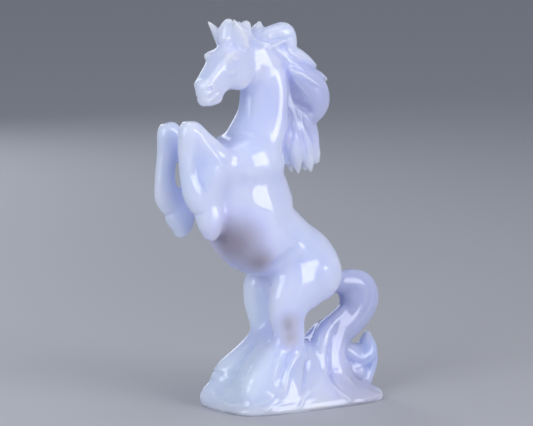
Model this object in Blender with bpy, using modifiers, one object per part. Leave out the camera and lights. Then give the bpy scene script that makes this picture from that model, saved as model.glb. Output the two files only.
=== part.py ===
"""A rearing horse with a flowing mane and tail, carved with its base from one piece of pale stone.

The horse faces -X with its near (left) side toward -Y. The origin is the middle of the base's underside.
"""

import math

import bmesh
import bpy
import numpy as np
from mathutils import Matrix, Vector

MILLIMETRE = 0.001

# Sizes in millimetres.
HEIGHT = 150.0
BASE_LENGTH = 68.0
BASE_WIDTH = 35.5
BASE_RIM_HEIGHT = 2.4
FORE_LEG_SPACING = 15.0

# The figure takes its pose and carving from its height: it is drawn in shares, 150 to the height.
SHARE = HEIGHT / 150
FIGURE = Matrix.Scale(SHARE, 4)

# The edge of the small cubes that the bodies are fused with, first the flesh and then the whole.
ROUGH_CUBE = 0.006 * HEIGHT
FINE_CUBE = 0.0037 * HEIGHT
MOST_TRIANGLES = 9700

# The hind feet melt into the rock: fully below the first level, in shares, and not above the second.
MELTED_BELOW = 20
FIRM_ABOVE = 36
MOST_MELTING = 0.8

# How far off the skin a stroke of the chisel may be drawn, in shares.
STROKE_REACH = 4

# Where the head meets the neck, in shares, and how far the head turns toward the near side.
POLL = (-21.0, 0.0, 138.7)
HEAD_TURN = math.radians(22)


def smooth_through(points, steps):
    """Points along a smooth curve through the given ones, which may carry further values."""
    rows = np.array(points, float)
    rows = np.vstack([2 * rows[0] - rows[1], rows, 2 * rows[-1] - rows[-2]])
    out = []
    for before, a, b, after in zip(rows, rows[1:], rows[2:], rows[3:]):
        for t in np.arange(steps) / steps:
            out.append(
                a
                + 0.5 * t * (b - before)
                + 0.5 * t**2 * (2 * before - 5 * a + 4 * b - after)
                + 0.5 * t**3 * (3 * a - before - 3 * b + after)
            )
    out.append(rows[-2])
    return np.array(out)


def sections(path, side):
    """A matrix for each place on the path, that lays a unit circle across it as an ellipse."""
    out = []
    across = Vector(side)
    last = len(path) - 1
    for k, (x, y, z, wide, deep) in enumerate(path):
        along = Vector(path[min(k + 1, last)][:3] - path[max(k - 1, 0)][:3]).normalized()
        level = across - along * across.dot(along)
        level.normalize()
        turn = Matrix((level, along.cross(level), along)).transposed().to_4x4()
        size = Matrix.Diagonal((max(wide, 0.05), max(deep, 0.05), 1, 1))
        out.append(Matrix.Translation((x, y, z)) @ turn @ size)
    return out


def grow(bm, ring, frames):
    """Extrudes the cap of a ring from frame to frame."""
    end = ring["verts"][0].link_faces[0]
    keep = True
    for frame, ahead in zip(frames, frames[1:]):
        grown = bmesh.ops.extrude_face_region(bm, geom=[end], use_keep_orig=keep)["geom"]
        end = next(g for g in grown if isinstance(g, bmesh.types.BMFace))
        bmesh.ops.transform(bm, matrix=ahead @ frame.inverted(), verts=list(end.verts))
        keep = False


def loft(bm, stations, side=(0, 1, 0), segments=20, place=FIGURE):
    """A closed body through elliptical sections, each x, y, z, half width and half depth."""
    frames = [place @ frame for frame in sections(smooth_through(stations, 4), side)]
    ring = bmesh.ops.create_circle(bm, cap_ends=True, segments=segments, radius=1, matrix=frames[0])
    grow(bm, ring, frames)


def lock(bm, points, wide, deep, root=0.75, tip=0.12, full=0.35, place=FIGURE):
    """A lock of hair or a blade of stone: widest a part of the way along, thin at its tip."""
    stations = []
    for k, point in enumerate(points):
        t = k / (len(points) - 1)
        if t < full:
            share = root + (1 - root) * math.sin(0.5 * math.pi * t / full)
        else:
            share = tip + (1 - tip) * math.cos(0.5 * math.pi * (t - full) / (1 - full)) ** 0.8
        stations.append((*point, wide * share, deep * share))
    loft(bm, stations, segments=16, place=place)


def ball(bm, centre, radii, place=FIGURE):
    matrix = place @ Matrix.Translation(centre) @ Matrix.Diagonal((*radii, 1))
    bmesh.ops.create_uvsphere(bm, u_segments=24, v_segments=16, radius=1, matrix=matrix)


def mirrored(points):
    return [(p[0], -p[1], *p[2:]) for p in points]


def head_place():
    return FIGURE @ Matrix.Translation(POLL) @ Matrix.Rotation(HEAD_TURN, 4, "Z")


def add_trunk(bm):
    chest_to_rump = [
        (-28, 0, 103, 6.5, 6.5), (-26, 0, 97.5, 10.5, 12.5), (-24.2, 0, 88.5, 13, 17.4),
        (-21.6, 0, 77.8, 14.2, 18.6), (-16, 0, 67.8, 14, 17.5), (-3.2, 0, 60.6, 13.2, 12.4),
        (4.6, 0, 55.6, 12.4, 11.4), (11, 0, 49.8, 10.4, 8.8), (14, 0, 45, 6, 5),
    ]
    loft(bm, chest_to_rump, segments=32)
    neck = [
        (-21.5, 0, 86, 9, 12), (-20.5, 0, 95, 10, 13.5), (-17.6, 0, 103, 9.0, 12),
        (-14.8, 0, 110.5, 7.4, 10.6), (-14.0, 0, 117.5, 6.6, 10.0), (-14.2, 0, 125, 6.2, 9.6),
        (-15.8, -0.5, 132.5, 6.0, 8), (-20, -1, 138, 5.4, 6.5),
    ]
    loft(bm, neck, segments=28)
    for side in (-1, 1):
        flank = [
            (-14.8, 1.6 * side, 132.5, 3.4, 4.0), (-11.4, 2.6 * side, 126.5, 4.4, 5.0),
            (-10.6, 3.0 * side, 116.5, 4.9, 5.4), (-12.6, 3.4 * side, 108, 5.6, 6.0),
            (-16, 4.4 * side, 101, 6.2, 6),
        ]
        loft(bm, flank)
        ball(bm, (-23, 5.2 * side, 94.6), (14.6, 9.0, 11.6))
    ball(bm, (-34, 0, 98.6), (7.6, 9, 5.8))


def add_forearm(bm, y, forward, up, back):
    """Shoulder, forearm and knee, and the stone left standing between the forearm and the cannon."""
    out = math.copysign(1, y)
    x, z = -49.5 + forward, 109.6 + up
    forearm = [
        (-24, 6 * out, 91, 6, 8), (-32, 6.6 * out, 92.4, 5.2, 8.6), (-38.8, 8.0 * out, 97.2, 4.9, 7.0),
        (x + 4.8, y + 0.3 * out, z - 4.9, 4.4, 4.8), (x + 1.6, y, z - 1.0, 3.8, 4.2),
        (x, y, z - 0.2, 3.4, 3.8),
    ]
    loft(bm, forearm)
    breast = [
        (-37, 1.05 * y, 101, 4.6, 6), (-40.4 + back, 1.08 * y, 95, 5.0, 6.6),
        (-41.5 + back, 1.05 * y, 89, 4.7, 6.2), (-41, y, 82, 3.8, 4.8), (-39, 0.9 * y, 77, 3, 4),
    ]
    loft(bm, breast)


def add_near_fore_leg(bm):
    """The cannon hangs from the knee, and the hoof is folded back."""
    y = -0.5 * FORE_LEG_SPACING / SHARE
    add_forearm(bm, y, 0, 0, 0)
    cannon = [
        (-49.0, y, 112.6, 3.0, 2.8), (-49.7, y, 108.6, 3.9, 4.2), (-50.4, y, 102, 3.4, 3.7),
        (-50.4, y, 96, 3.1, 3.5), (-49.6, y, 90.5, 3.1, 3.7), (-47.8, y, 85.5, 3.6, 4.5),
        (-45, y, 81.5, 3.7, 4.8), (-43, y, 79, 3.6, 4.8),
    ]
    loft(bm, cannon)
    hoof = [
        (-43, y, 81, 3.4, 4.6), (-41.4, y, 78.3, 4.4, 6.0), (-40.9, y, 74.4, 4.6, 5.5),
        (-40.9, y, 70.4, 4.0, 4.0), (-41.8, y, 67.5, 2.8, 1.7),
    ]
    loft(bm, hoof)


def add_far_fore_leg(bm):
    y = 0.5 * FORE_LEG_SPACING / SHARE
    add_forearm(bm, y, -1.6, -1.6, 2.8)
    cannon = [
        (-50.6, y, 110.2, 3.0, 2.8), (-51, y, 106.8, 3.8, 4.2), (-50.9, y, 101.5, 3.4, 4.3),
        (-51.7, y, 95, 3.2, 4.1), (-52.1, y, 89, 3.2, 4.3), (-51.4, y, 83.2, 3.7, 5.1),
        (-49.2, y, 79.4, 3.8, 4.9), (-46.4, y, 77, 3.8, 4.8),
    ]
    loft(bm, cannon)
    hoof = [
        (-47.6, y, 79, 3.4, 4.4), (-46.4, y, 76.4, 4.4, 5.8), (-45.6, y, 73, 4.6, 5.6),
        (-45.8, y, 69.4, 4.0, 3.8), (-46.8, y, 66.8, 2.8, 1.2),
    ]
    loft(bm, hoof)


def add_near_hind_leg(bm):
    ball(bm, (4.6, -6.2, 50.4), (11.8, 7.4, 11.4))
    leg = [
        (4, -6, 54, 7, 11), (-1.5, -7.6, 48.5, 7.2, 12), (-6.5, -8.3, 42.5, 6.4, 9.8),
        (-8.4, -8.5, 36.5, 5.4, 7.8), (-8.0, -8.6, 31, 4.8, 6.6), (-7.6, -8.7, 26.8, 4.4, 6.4),
        (-11.4, -8.7, 22.8, 4.2, 5.2), (-16.4, -8.7, 18.4, 4.2, 4.6), (-20.4, -8.6, 14.2, 4.4, 4.6),
    ]
    loft(bm, leg, segments=24)
    hoof = [
        (-20, -8.6, 14.6, 4.2, 4.4), (-22.6, -8.4, 11.6, 5, 4.8), (-24, -8.2, 8.4, 5.2, 4.6),
        (-24.2, -8, 4, 5.4, 4.6),
    ]
    loft(bm, hoof)


def add_far_hind_leg(bm):
    leg = [
        (3, 5, 54, 7, 11), (-4, 7.2, 50, 7, 11), (-10.5, 8, 46, 6, 7.6), (-12.6, 8, 40, 5, 5.3),
        (-11.8, 8, 33.5, 4.4, 4.6), (-10.2, 8, 28, 4.5, 4.6), (-13.4, 8, 22.8, 4.6, 4.6),
        (-19.2, 8.2, 18.2, 4.6, 4.6), (-24.6, 8.6, 13.8, 4.8, 4.8),
    ]
    loft(bm, leg, segments=24)
    hoof = [
        (-22.6, 8.6, 15.6, 4.7, 4.8), (-25, 9, 13.4, 5.2, 5.0), (-26.6, 9.2, 11.6, 5, 4.6),
        (-27, 9.6, 8, 4, 3.6),
    ]
    loft(bm, hoof)


def add_head(bm):
    place = head_place()
    skull = [
        (4, 0, -1, 4.8, 6.5), (-2.5, 0, -3, 5.4, 8.4), (-8.4, 0, -5.6, 6.0, 9.6), (-12.6, 0, -8.2, 5.8, 8.4),
        (-16.5, 0, -10.9, 4.9, 6.1), (-20, 0, -13.5, 4.3, 5.3), (-23, 0, -15.5, 3.9, 4.9),
        (-25.2, 0, -16.2, 3.3, 4.2), (-26.4, 0, -16.4, 2.4, 3.2),
    ]
    loft(bm, skull, segments=24, place=place)
    for side in (-1, 1):
        ball(bm, (-7.6, 2.5 * side, -9), (6.8, 3.9, 7.2), place)
        ball(bm, (0, 3.6 * side, -8.2), (4.8, 3.8, 5.4), place)
        ball(bm, (-13.4, 4.1 * side, -3.9), (2.6, 2.1, 1.9), place)
        bridge = [
            (-10, 2.2 * side, -1.8, 2.4, 2.4), (-17, 2.6 * side, -5.4, 2.4, 2.4),
            (-20.8, 2.4 * side, -8.6, 2.2, 2.2), (-24.4, 2.2 * side, -11.6, 1.9, 1.9),
        ]
        loft(bm, bridge, segments=16, place=place)
        brow = [
            (-9.6, 4.6 * side, -2.6, 0.6, 0.6), (-13.2, 4.9 * side, -1.8, 1.0, 1.0),
            (-17.6, 5.3 * side, -2.5, 1.3, 1.3), (-18.4, 4.6 * side, -4.4, 0.7, 0.7),
        ]
        loft(bm, brow, segments=12, place=place)
        ball(bm, (-26.4, 2.5 * side, -12.6), (1.5, 1.5, 1.5), place)
    muzzle = [
        (-25.0, 0, -11.0, 2.6, 2.0), (-25.4, 0, -12.6, 3.4, 3.0), (-24.9, 0, -15.4, 3.5, 3.3),
        (-24.5, 0, -18, 3.4, 3.0), (-23.6, 0, -20.0, 2.6, 2.2),
    ]
    loft(bm, muzzle, segments=24, place=place)
    ball(bm, (-22, 0, -18.4), (3.2, 3.0, 2.6), place)
    ball(bm, (-19.2, 0, -17.8), (3.4, 3.2, 2.8), place)


def add_ears(bm):
    place = head_place()
    near = [
        (-8.2, -3.4, -0.8, 2.8, 1.8), (-9.6, -4.2, 2.6, 3.7, 1.6), (-11.1, -4.6, 5.6, 3.0, 1.3),
        (-12.6, -4.8, 8.4, 1.7, 0.8), (-14.1, -5.0, 11.2, 0.3, 0.3),
    ]
    loft(bm, near, side=(0.63, -0.78, 0), place=place)
    far = [
        (-10.6, 3.4, 0.4, 2.6, 1.8), (-11.6, 4.1, 3.6, 3.1, 1.8), (-13.6, 4.6, 6.8, 2.5, 1.4),
        (-16.9, 5.0, 9.9, 0.4, 0.4),
    ]
    loft(bm, far, side=(0.63, 0.78, 0), place=place)


def add_forelock(bm):
    place = head_place()
    flame = [
        (-10, 0, 0, 2.8, 3), (-12.8, 0, 3, 3, 2.6), (-12.9, -0.4, 6.6, 3, 2.4), (-12.0, -1, 9.4, 2.2, 1.7),
        (-11.2, -1.4, 10.7, 0.9, 0.8),
    ]
    loft(bm, flame, place=place)
    tuft = [(-9, -1.4, 1), (-8.8, -1.6, 5), (-7.6, -1.6, 7.6), (-6.4, -1.6, 9.2)]
    lock(bm, tuft, 2.4, 2.8, tip=0.4, place=place)
    tuft = [(-5, -1.4, 1), (-4, -1.6, 5), (-2.8, -1.6, 7.6), (-1.6, -1.6, 9.2)]
    lock(bm, tuft, 2.4, 3.0, tip=0.4, place=place)
    spike = [(1, -0.4, 0), (4.0, -0.6, 4), (5.6, -0.8, 6.6), (6.5, -0.8, 9.0)]
    lock(bm, spike, 2.6, 2.6, place=place)
    ball(bm, (-4.6, -1.6, 4.6), (4.4, 2.6, 4), place)


def add_mane(bm):
    crest = [
        (-18, -0.5, 139, 4, 5), (-11, 0, 136.5, 4.4, 5.5), (-6, 0, 129, 4.6, 5), (-4, 0, 119, 4.8, 5),
        (-3.8, 0, 109, 5, 5), (-4.6, 0, 99, 4.6, 4.4), (-5, 0, 93, 3, 3),
    ]
    loft(bm, crest)
    curl = [
        (-17, -1, 140.5, 2.6, 2.6), (-13.5, -1.2, 141.8, 3.6, 3.4), (-9, -1.2, 142.7, 4.4, 4.1),
        (-5.8, -1, 142.4, 4.4, 4.4), (-4.2, -0.6, 137.5, 4, 3.6), (-4.4, 0, 133, 3, 3),
    ]
    loft(bm, curl)
    cape = [
        (-10, 0, 133, 4.6, 5), (-3, 0, 131.2, 4.4, 4.6), (3, 0, 128.6, 3.8, 3.2), (7, -0.4, 126.4, 2.8, 1.8),
    ]
    loft(bm, cape)
    upper = [(-10, -0.5, 136), (-4, -0.5, 135.4), (1, 0, 133.1), (5.2, 0, 131), (8.9, 0, 129.6)]
    lock(bm, upper, 4.2, 3.4, tip=0.16)
    second = [(-2, 0, 128.8), (3, 0, 128), (7, 0, 126.5), (10.2, 0, 125.5), (13.6, 0, 124.2)]
    lock(bm, second, 3.8, 2.6, tip=0.24)
    round_lock = [
        (-7, -1.4, 128, 3, 3), (-1, -2.0, 126.6, 3.8, 4.2), (4.6, -2.2, 121.8, 4.4, 6.6),
        (7.0, -2, 116.6, 4.2, 6.4), (5.5, -1.6, 111.4, 3.2, 4.6), (3.5, -1.4, 107.5, 1.4, 1.8),
    ]
    loft(bm, round_lock)
    loft(bm, mirrored(round_lock))
    long_lock = [
        (-4, -1.4, 118), (0.6, -1.6, 112.5), (4.0, -1.2, 105.5), (5.2, -0.8, 99), (8.0, 0, 94.5),
        (10.4, 0, 92.6),
    ]
    lock(bm, long_lock, 3.8, 4.6, tip=0.1, full=0.5)
    for side in (-1, 1):
        middle = [
            (-5, 3 * side, 113), (-1.6, 3.6 * side, 106.5), (1.4, 3.4 * side, 100), (3.8, 2.6 * side, 94),
            (5.6, 2 * side, 89.4),
        ]
        lock(bm, middle, 3.0, 3.8, full=0.4)
        lowest = [
            (-7, 3.4 * side, 109), (-4.2, 3.8 * side, 102.5), (-2.2, 3.6 * side, 96), (-0.2, 2.6 * side, 89),
        ]
        lock(bm, lowest, 2.8, 3.6, full=0.4)
    far = [(-4, 3, 116), (0, 3.2, 110), (3, 3.0, 103), (5, 2.6, 97), (8.2, 2.2, 91.2)]
    lock(bm, far, 3.2, 4.2, full=0.45)


def add_tail(bm):
    """The tail rises in an arc and falls in two broad locks that run out over the base."""
    body = [
        (14, 0, 46.8, 4.2, 4.6), (19, 0, 45.2, 4.2, 4.4), (24, 0, 44.6, 4.8, 5.4), (28.6, 0, 42.0, 5, 6.8),
        (28.9, 0, 36.6, 5.2, 7.8), (25.0, 0, 31.0, 5.4, 7.0), (18.8, 0, 26.4, 5.6, 7.0),
        (14.4, 0, 21.2, 5.8, 8.2),
        (12.8, 0, 15, 6.4, 10.2), (14, 0, 7, 8, 13), (14, 0, 0, 9, 16),
    ]
    loft(bm, body, segments=32)
    ball(bm, (24.6, 0, 39.8), (5.0, 4.6, 4.6))
    for side in (-1, 1):
        # The lock on the far side lies lower, so that the gap below the rump stays open.
        low = 1 + side
        inner = [
            (25, 0.4 * side, 36.6 - low), (18.6, 1.2 * side, 31.8 - low), (12.8, 2.4 * side, 28.2 - low),
            (9.6, 3.8 * side, 24.2 - low), (7.6, 4.6 * side, 18.6), (6.8, 6.6 * side, 12),
            (4, 10.2 * side, 7.6),
            (-2, 13.2 * side, 4.8), (-6.6, 15.2 * side, 2.6),
        ]
        lock(bm, inner, 3.8, 3.8, tip=0.5)
        outer = [
            (28.4, 0.2 * side, 38.4), (24.2, 0.6 * side, 32.6), (19, 1.8 * side, 26.8),
            (15.6, 3.4 * side, 21.2),
            (14.6, 4.4 * side, 15.4), (15.2, 6.6 * side, 10.2), (17.2, 10 * side, 6.4),
            (20.6, 13.4 * side, 3),
        ]
        lock(bm, outer, 3.8, 4.4, tip=0.4)


def add_tail_hook(bm):
    """The foot of the tail, that curls back up like a breaking wave."""
    crest = [
        (18, 0, 20.6, 4, 3.6), (22.6, -0.4, 17.6, 4.2, 4.0), (27.4, -0.6, 15.2, 4.6, 5.0),
        (31.0, -0.6, 16.2, 4.6, 5.0), (31.9, -0.4, 19.2, 3.8, 3.9), (32.3, 0, 22.2, 2.4, 2.5),
        (32.7, 0, 24.8, 0.7, 0.6),
    ]
    loft(bm, crest)
    back = [
        (32, 0, 20, 3.6, 2.4), (33.2, 0, 15, 4.6, 3.0), (32.2, 0, 10.4, 5, 3.2), (29.6, 0, 6, 5.4, 4),
        (27, 0, 2, 6, 5),
    ]
    loft(bm, back)
    loft(bm, [(20, 0, 10, 5, 6), (27, 0, 9.0, 5.4, 6), (30, 0, 9, 4.6, 4.4)])
    foot = [(20, 0, 3, 8, 5), (28, 0, 3.2, 10, 3.6), (32, -1, 2.4, 11, 2), (34, -1.4, 1.6, 10, 1.2)]
    loft(bm, foot)


def add_base(bm):
    """A low slab with rounded corners, its fore end aslant, that rises toward the legs."""
    ring = bmesh.ops.create_circle(bm, cap_ends=True, segments=64, radius=1)
    for vert in ring["verts"]:
        c, s = (math.copysign(abs(v) ** 0.45, v) for v in vert.co.xy)
        y = 0.5 * BASE_WIDTH * s
        vert.co = (0.5 * BASE_LENGTH * c - 0.11 * y * (1 - c), y, 0)
    rim = [(0.97, 0.97, -1.2), (0.985, 0.985, 0), (1, 1, 0.5), (0.98, 0.98, 1)]
    places = [(long, wide, 0, BASE_RIM_HEIGHT * level) for long, wide, level in rim]
    slope = [
        (0.9, 0.92, -1.2, 1.6), (0.8, 0.84, -3.6, 3.6), (0.68, 0.74, -6, 5.8), (0.5, 0.6, -8, 8.4),
        (0.3, 0.4, -9, 11),
    ]
    for long, wide, shift, rise in slope:
        places.append((long, wide, SHARE * shift, BASE_RIM_HEIGHT + SHARE * rise))
    frames = [Matrix()]
    for long, wide, shift, level in places:
        frames.append(Matrix.Translation((shift, 0, level)) @ Matrix.Diagonal((long, wide, 1, 1)))
    bmesh.ops.transform(bm, matrix=frames[1], verts=ring["verts"])
    grow(bm, ring, frames[1:])


def add_rock(bm):
    """Stone that rises from the base to the hind legs and fills the gap between them."""
    web = [
        (-17, 1, 1, 10, 13.6), (-14, 1, 11, 9.6, 10), (-8.8, 1, 21, 9, 7.8), (-5.8, 1, 28, 8.6, 6),
        (-5, 0.8, 35, 8.2, 5.4), (-5.4, 0, 42, 7.6, 5.8), (-6.4, 0, 50, 7, 6.6),
    ]
    loft(bm, web)
    toe_rest = [
        (-22, 9.4, 4.6, 5.8, 7.2), (-28, 9.6, 4.4, 5.8, 6.8), (-32.4, 9.8, 2.6, 5.6, 5.2),
        (-35.4, 9.8, 1, 4, 2.8),
    ]
    loft(bm, toe_rest)
    for side in (1, -1):
        skirt = [
            (-10, 4 * side, 1, 12.5, 19), (-11, 4.4 * side, 8, 11.8, 16.0), (-10.4, 5 * side, 15, 9.9, 12.2),
            (-8.2, 5.8 * side, 21, 7.8, 8.8), (-5.6, 6.8 * side, 27, 5.4, 5.3), (-4.6, 7 * side, 32, 3, 3),
        ]
        loft(bm, skirt, segments=28)
        apron = [
            (0, 9.4 * side, 1, 6.4, 5.6), (14, 9 * side, 1, 6.8, 4.8), (25, 7 * side, 1, 7.2, 5.0),
            (31, 4 * side, 1, 6, 4.0),
        ]
        loft(bm, apron)
    between = [
        (2, 0, 0, 13, 7), (2.4, 0, 8, 11.5, 5.5), (2.2, 0, 16, 10, 4.4), (0, 0, 22, 8, 4), (-2, 0, 26, 5, 3),
    ]
    loft(bm, between)


def body_of(bm, name):
    mesh = bpy.data.meshes.new(name)
    bm.to_mesh(mesh)
    bm.free()
    body = bpy.data.objects.new(name, mesh)
    bpy.context.scene.collection.objects.link(body)
    return body


def apply_modifiers(body):
    graph = bpy.context.evaluated_depsgraph_get()
    mesh = bpy.data.meshes.new_from_object(body.evaluated_get(graph))
    body.modifiers.clear()
    body.data = mesh


def fuse(body, cube):
    """Joins the overlapping bodies into one skin."""
    remesh = body.modifiers.new("fuse", "REMESH")
    remesh.mode = "VOXEL"
    remesh.voxel_size = cube
    apply_modifiers(body)


def vertex_values(vertices, name):
    values = np.empty(3 * len(vertices), np.float32)
    vertices.foreach_get(name, values)
    return values.reshape(-1, 3).astype(float)


def soften(body, rounds, crests, hollows=1.0):
    """Smooths the skin round by round, with a strength of its own for what stands out and what lies in."""
    mesh = body.data
    places = vertex_values(mesh.vertices, "co")
    ends = np.empty(2 * len(mesh.edges), np.int32)
    mesh.edges.foreach_get("vertices", ends)
    ends = ends.reshape(-1, 2)
    here, there = np.concatenate([ends, ends[:, ::-1]]).T
    count = np.bincount(here, minlength=len(places))[:, None]
    for turn in range(rounds):
        if turn % 5 == 0:
            mesh.vertices.foreach_set("co", places.ravel())
            mesh.update()
            outward = vertex_values(mesh.vertices, "normal")
        mean = np.stack([np.bincount(here, places[there, k], len(places)) for k in range(3)], 1) / count
        step = mean - places
        lift = (step * outward).sum(1, keepdims=True)
        weight = np.where(lift > 0, hollows, crests)
        places += 0.5 * (step + (weight - 1) * lift * outward)
    mesh.vertices.foreach_set("co", places.ravel())
    mesh.update()


def melting(body):
    """How strongly each place is smoothed once more, where the hind feet melt into the rock."""
    levels = vertex_values(body.data.vertices, "co")[:, 2:]
    return np.interp(levels, (SHARE * MELTED_BELOW, SHARE * FIRM_ABOVE), (MOST_MELTING, 0))


class Chisel:
    """Moves a body's skin in or out along strokes, which are first laid onto the skin."""

    def __init__(self, body):
        self.mesh = body.data
        self.places = vertex_values(self.mesh.vertices, "co")
        self.outward = vertex_values(self.mesh.vertices, "normal")

    def within(self, path, reach):
        """The numbers of the vertices in the path's box and a margin round it."""
        return np.flatnonzero(
            ((self.places > path.min(0) - reach) & (self.places < path.max(0) + reach)).all(1)
        )

    def on_skin(self, path):
        """The path, moved to the skin nearest to it."""
        chosen = self.within(path, SHARE * STROKE_REACH)
        if not len(chosen):
            return path
        nearest = [chosen[((self.places[chosen] - point) ** 2).sum(1).argmin()] for point in path]
        path = self.places[nearest]
        path[1:-1] = (path[:-2] + path[1:-1] + path[2:]) / 3
        return path

    def stroke(self, points, radius, depth, place=FIGURE, fade=0.25, sharp=False):
        """A groove of a depth that fades at both ends, or a ridge where the depth is below zero."""
        radius, depth = SHARE * radius, SHARE * depth
        path = self.on_skin(smooth_through([place @ Vector(p) for p in points], 12))
        chosen = self.within(path, radius)
        if not len(chosen):
            return
        gaps = np.linalg.norm(self.places[chosen, None] - path[None], axis=2)
        near = np.clip(1 - gaps.min(1) / radius, 0, 1)
        reach = near**1.4 if sharp else (near * (2 - near)) ** 2
        along = gaps.argmin(1) / (len(path) - 1)
        ends = np.clip(np.minimum(along, 1 - along) / fade + 0.15, 0, 1) if fade else 1
        self.places[chosen] -= self.outward[chosen] * (depth * reach * ends)[:, None]

    def finish(self):
        self.mesh.vertices.foreach_set("co", self.places.ravel())
        self.mesh.update()


def carve_head(chisel):
    """Nostrils, mouth, the line of the jaw and the hollow below the eye."""
    place = head_place()
    for side in (-1, 1):
        chisel.stroke([(-26.0, 2.2 * side, -13.4), (-25.2, 3.2 * side, -12.8)], 1.1, 0.4, place, fade=0)
        mouth = [(-26.5, 1.2 * side, -17.2), (-24, 3.6 * side, -16.4), (-21, 4.2 * side, -15.4)]
        chisel.stroke(mouth, 1.0, 0.45, place)
        jaw = [(-5, 6.2 * side, -3), (-2.4, 6 * side, -7), (-3.6, 5.6 * side, -12), (-8, 5 * side, -14.6)]
        chisel.stroke(jaw, 1.8, 0.15, place)
        chisel.stroke(
            [(-11.5, 5.4 * side, -4.6), (-14.5, 6 * side, -5.8), (-18, 4.4 * side, -7)], 1.6, 0.15, place
        )
        chisel.stroke([(-17.2, 4.4 * side, -9.4), (-12.5, 5.6 * side, -9.6)], 1.6, 0.35, place)


def carve_hair(chisel):
    """The folds of the mane, and of the tail and its hook."""
    for side in (-1, 1):
        hollow = [(-14, 4.4 * side, 142.2), (-11.4, 4.8 * side, 141.8), (-8, 4.8 * side, 142.4)]
        chisel.stroke(hollow, 2.8, 1.0, fade=0.5)
        below_curl = [
            (-16.5, 4 * side, 141.3), (-14.2, 4.5 * side, 140.4), (-11.7, 4.5 * side, 140.3),
            (-8.7, 4.5 * side, 140.9), (-4.6, 4 * side, 141.8),
        ]
        chisel.stroke(below_curl, 1.4, 0.9, sharp=True)
        lip = [
            (-17.4, 4.5 * side, 140.8), (-14.9, 5 * side, 139), (-13.2, 5 * side, 138.4),
            (-11.1, 5 * side, 138.9),
            (-6.9, 4.5 * side, 139.9),
        ]
        chisel.stroke(lip, 1.4, -0.5, sharp=True)
        root = [
            (-12, 6 * side, 137.4), (-8, 6 * side, 133.6), (-6.4, 6 * side, 129), (-5.2, 6.2 * side, 121),
            (-5.2, 6.6 * side, 113.6), (-5.6, 7 * side, 106), (-6, 7.4 * side, 98.6),
        ]
        chisel.stroke(root, 1.7, 0.8)
        before_round = [
            (-5.4, 5 * side, 128), (-3.8, 5.4 * side, 122), (-1.4, 5.6 * side, 117), (4.4, 4.6 * side, 112.6),
        ]
        chisel.stroke(before_round, 2.2, 1.7)
        chisel.stroke([(-2, 4.6 * side, 132.6), (3, 3.6 * side, 131), (7, 2.4 * side, 129)], 1.2, 0.4)
        ridge = [
            (-6.5, 4.5 * side, 130), (-3.7, 4.9 * side, 128.7), (-0.3, 5.8 * side, 127.1),
            (3.4, 6.2 * side, 124.9),
            (7.4, 6 * side, 122.4),
        ]
        chisel.stroke(ridge, 1.4, -0.9, sharp=True)
        strand = [(29, 4.6 * side, 43), (30.6, 5 * side, 38), (27, 5.4 * side, 32.4), (22.4, 6 * side, 28)]
        chisel.stroke(strand, 1.3, 0.25)
        between_locks = [
            (12.6, 6.6 * side, 27), (10.4, 7 * side, 20.8), (9.8, 7.8 * side, 13.6), (10.4, 10.6 * side, 8.2),
            (12.4, 14.6 * side, 4.6),
        ]
        chisel.stroke(between_locks, 1.9, 0.9)
        # The rims of the hook and the shallow bowl of its face.
        bowl = [
            (25.4, 4.4 * side, 18), (28.4, 4 * side, 18.2), (30.8, 3 * side, 20.2), (32.2, 2 * side, 22.4),
        ]
        chisel.stroke(bowl, 3.4, 0.4)
        outer_rim = [
            (17.4, 6.4 * side, 19), (20, 5.1 * side, 14.7), (24.6, 5 * side, 12.4), (29.6, 5 * side, 12.9),
            (32.4, 5 * side, 15.2), (34.4, 3 * side, 19),
        ]
        chisel.stroke(outer_rim, 1.4, -0.3)
        inner_rim = [
            (22.6, 4.6 * side, 18.4), (25.1, 4.8 * side, 15.7), (27.7, 5.1 * side, 15.1),
            (30.4, 5 * side, 17.2),
        ]
        chisel.stroke(inner_rim, 1.4, -0.2)


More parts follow.
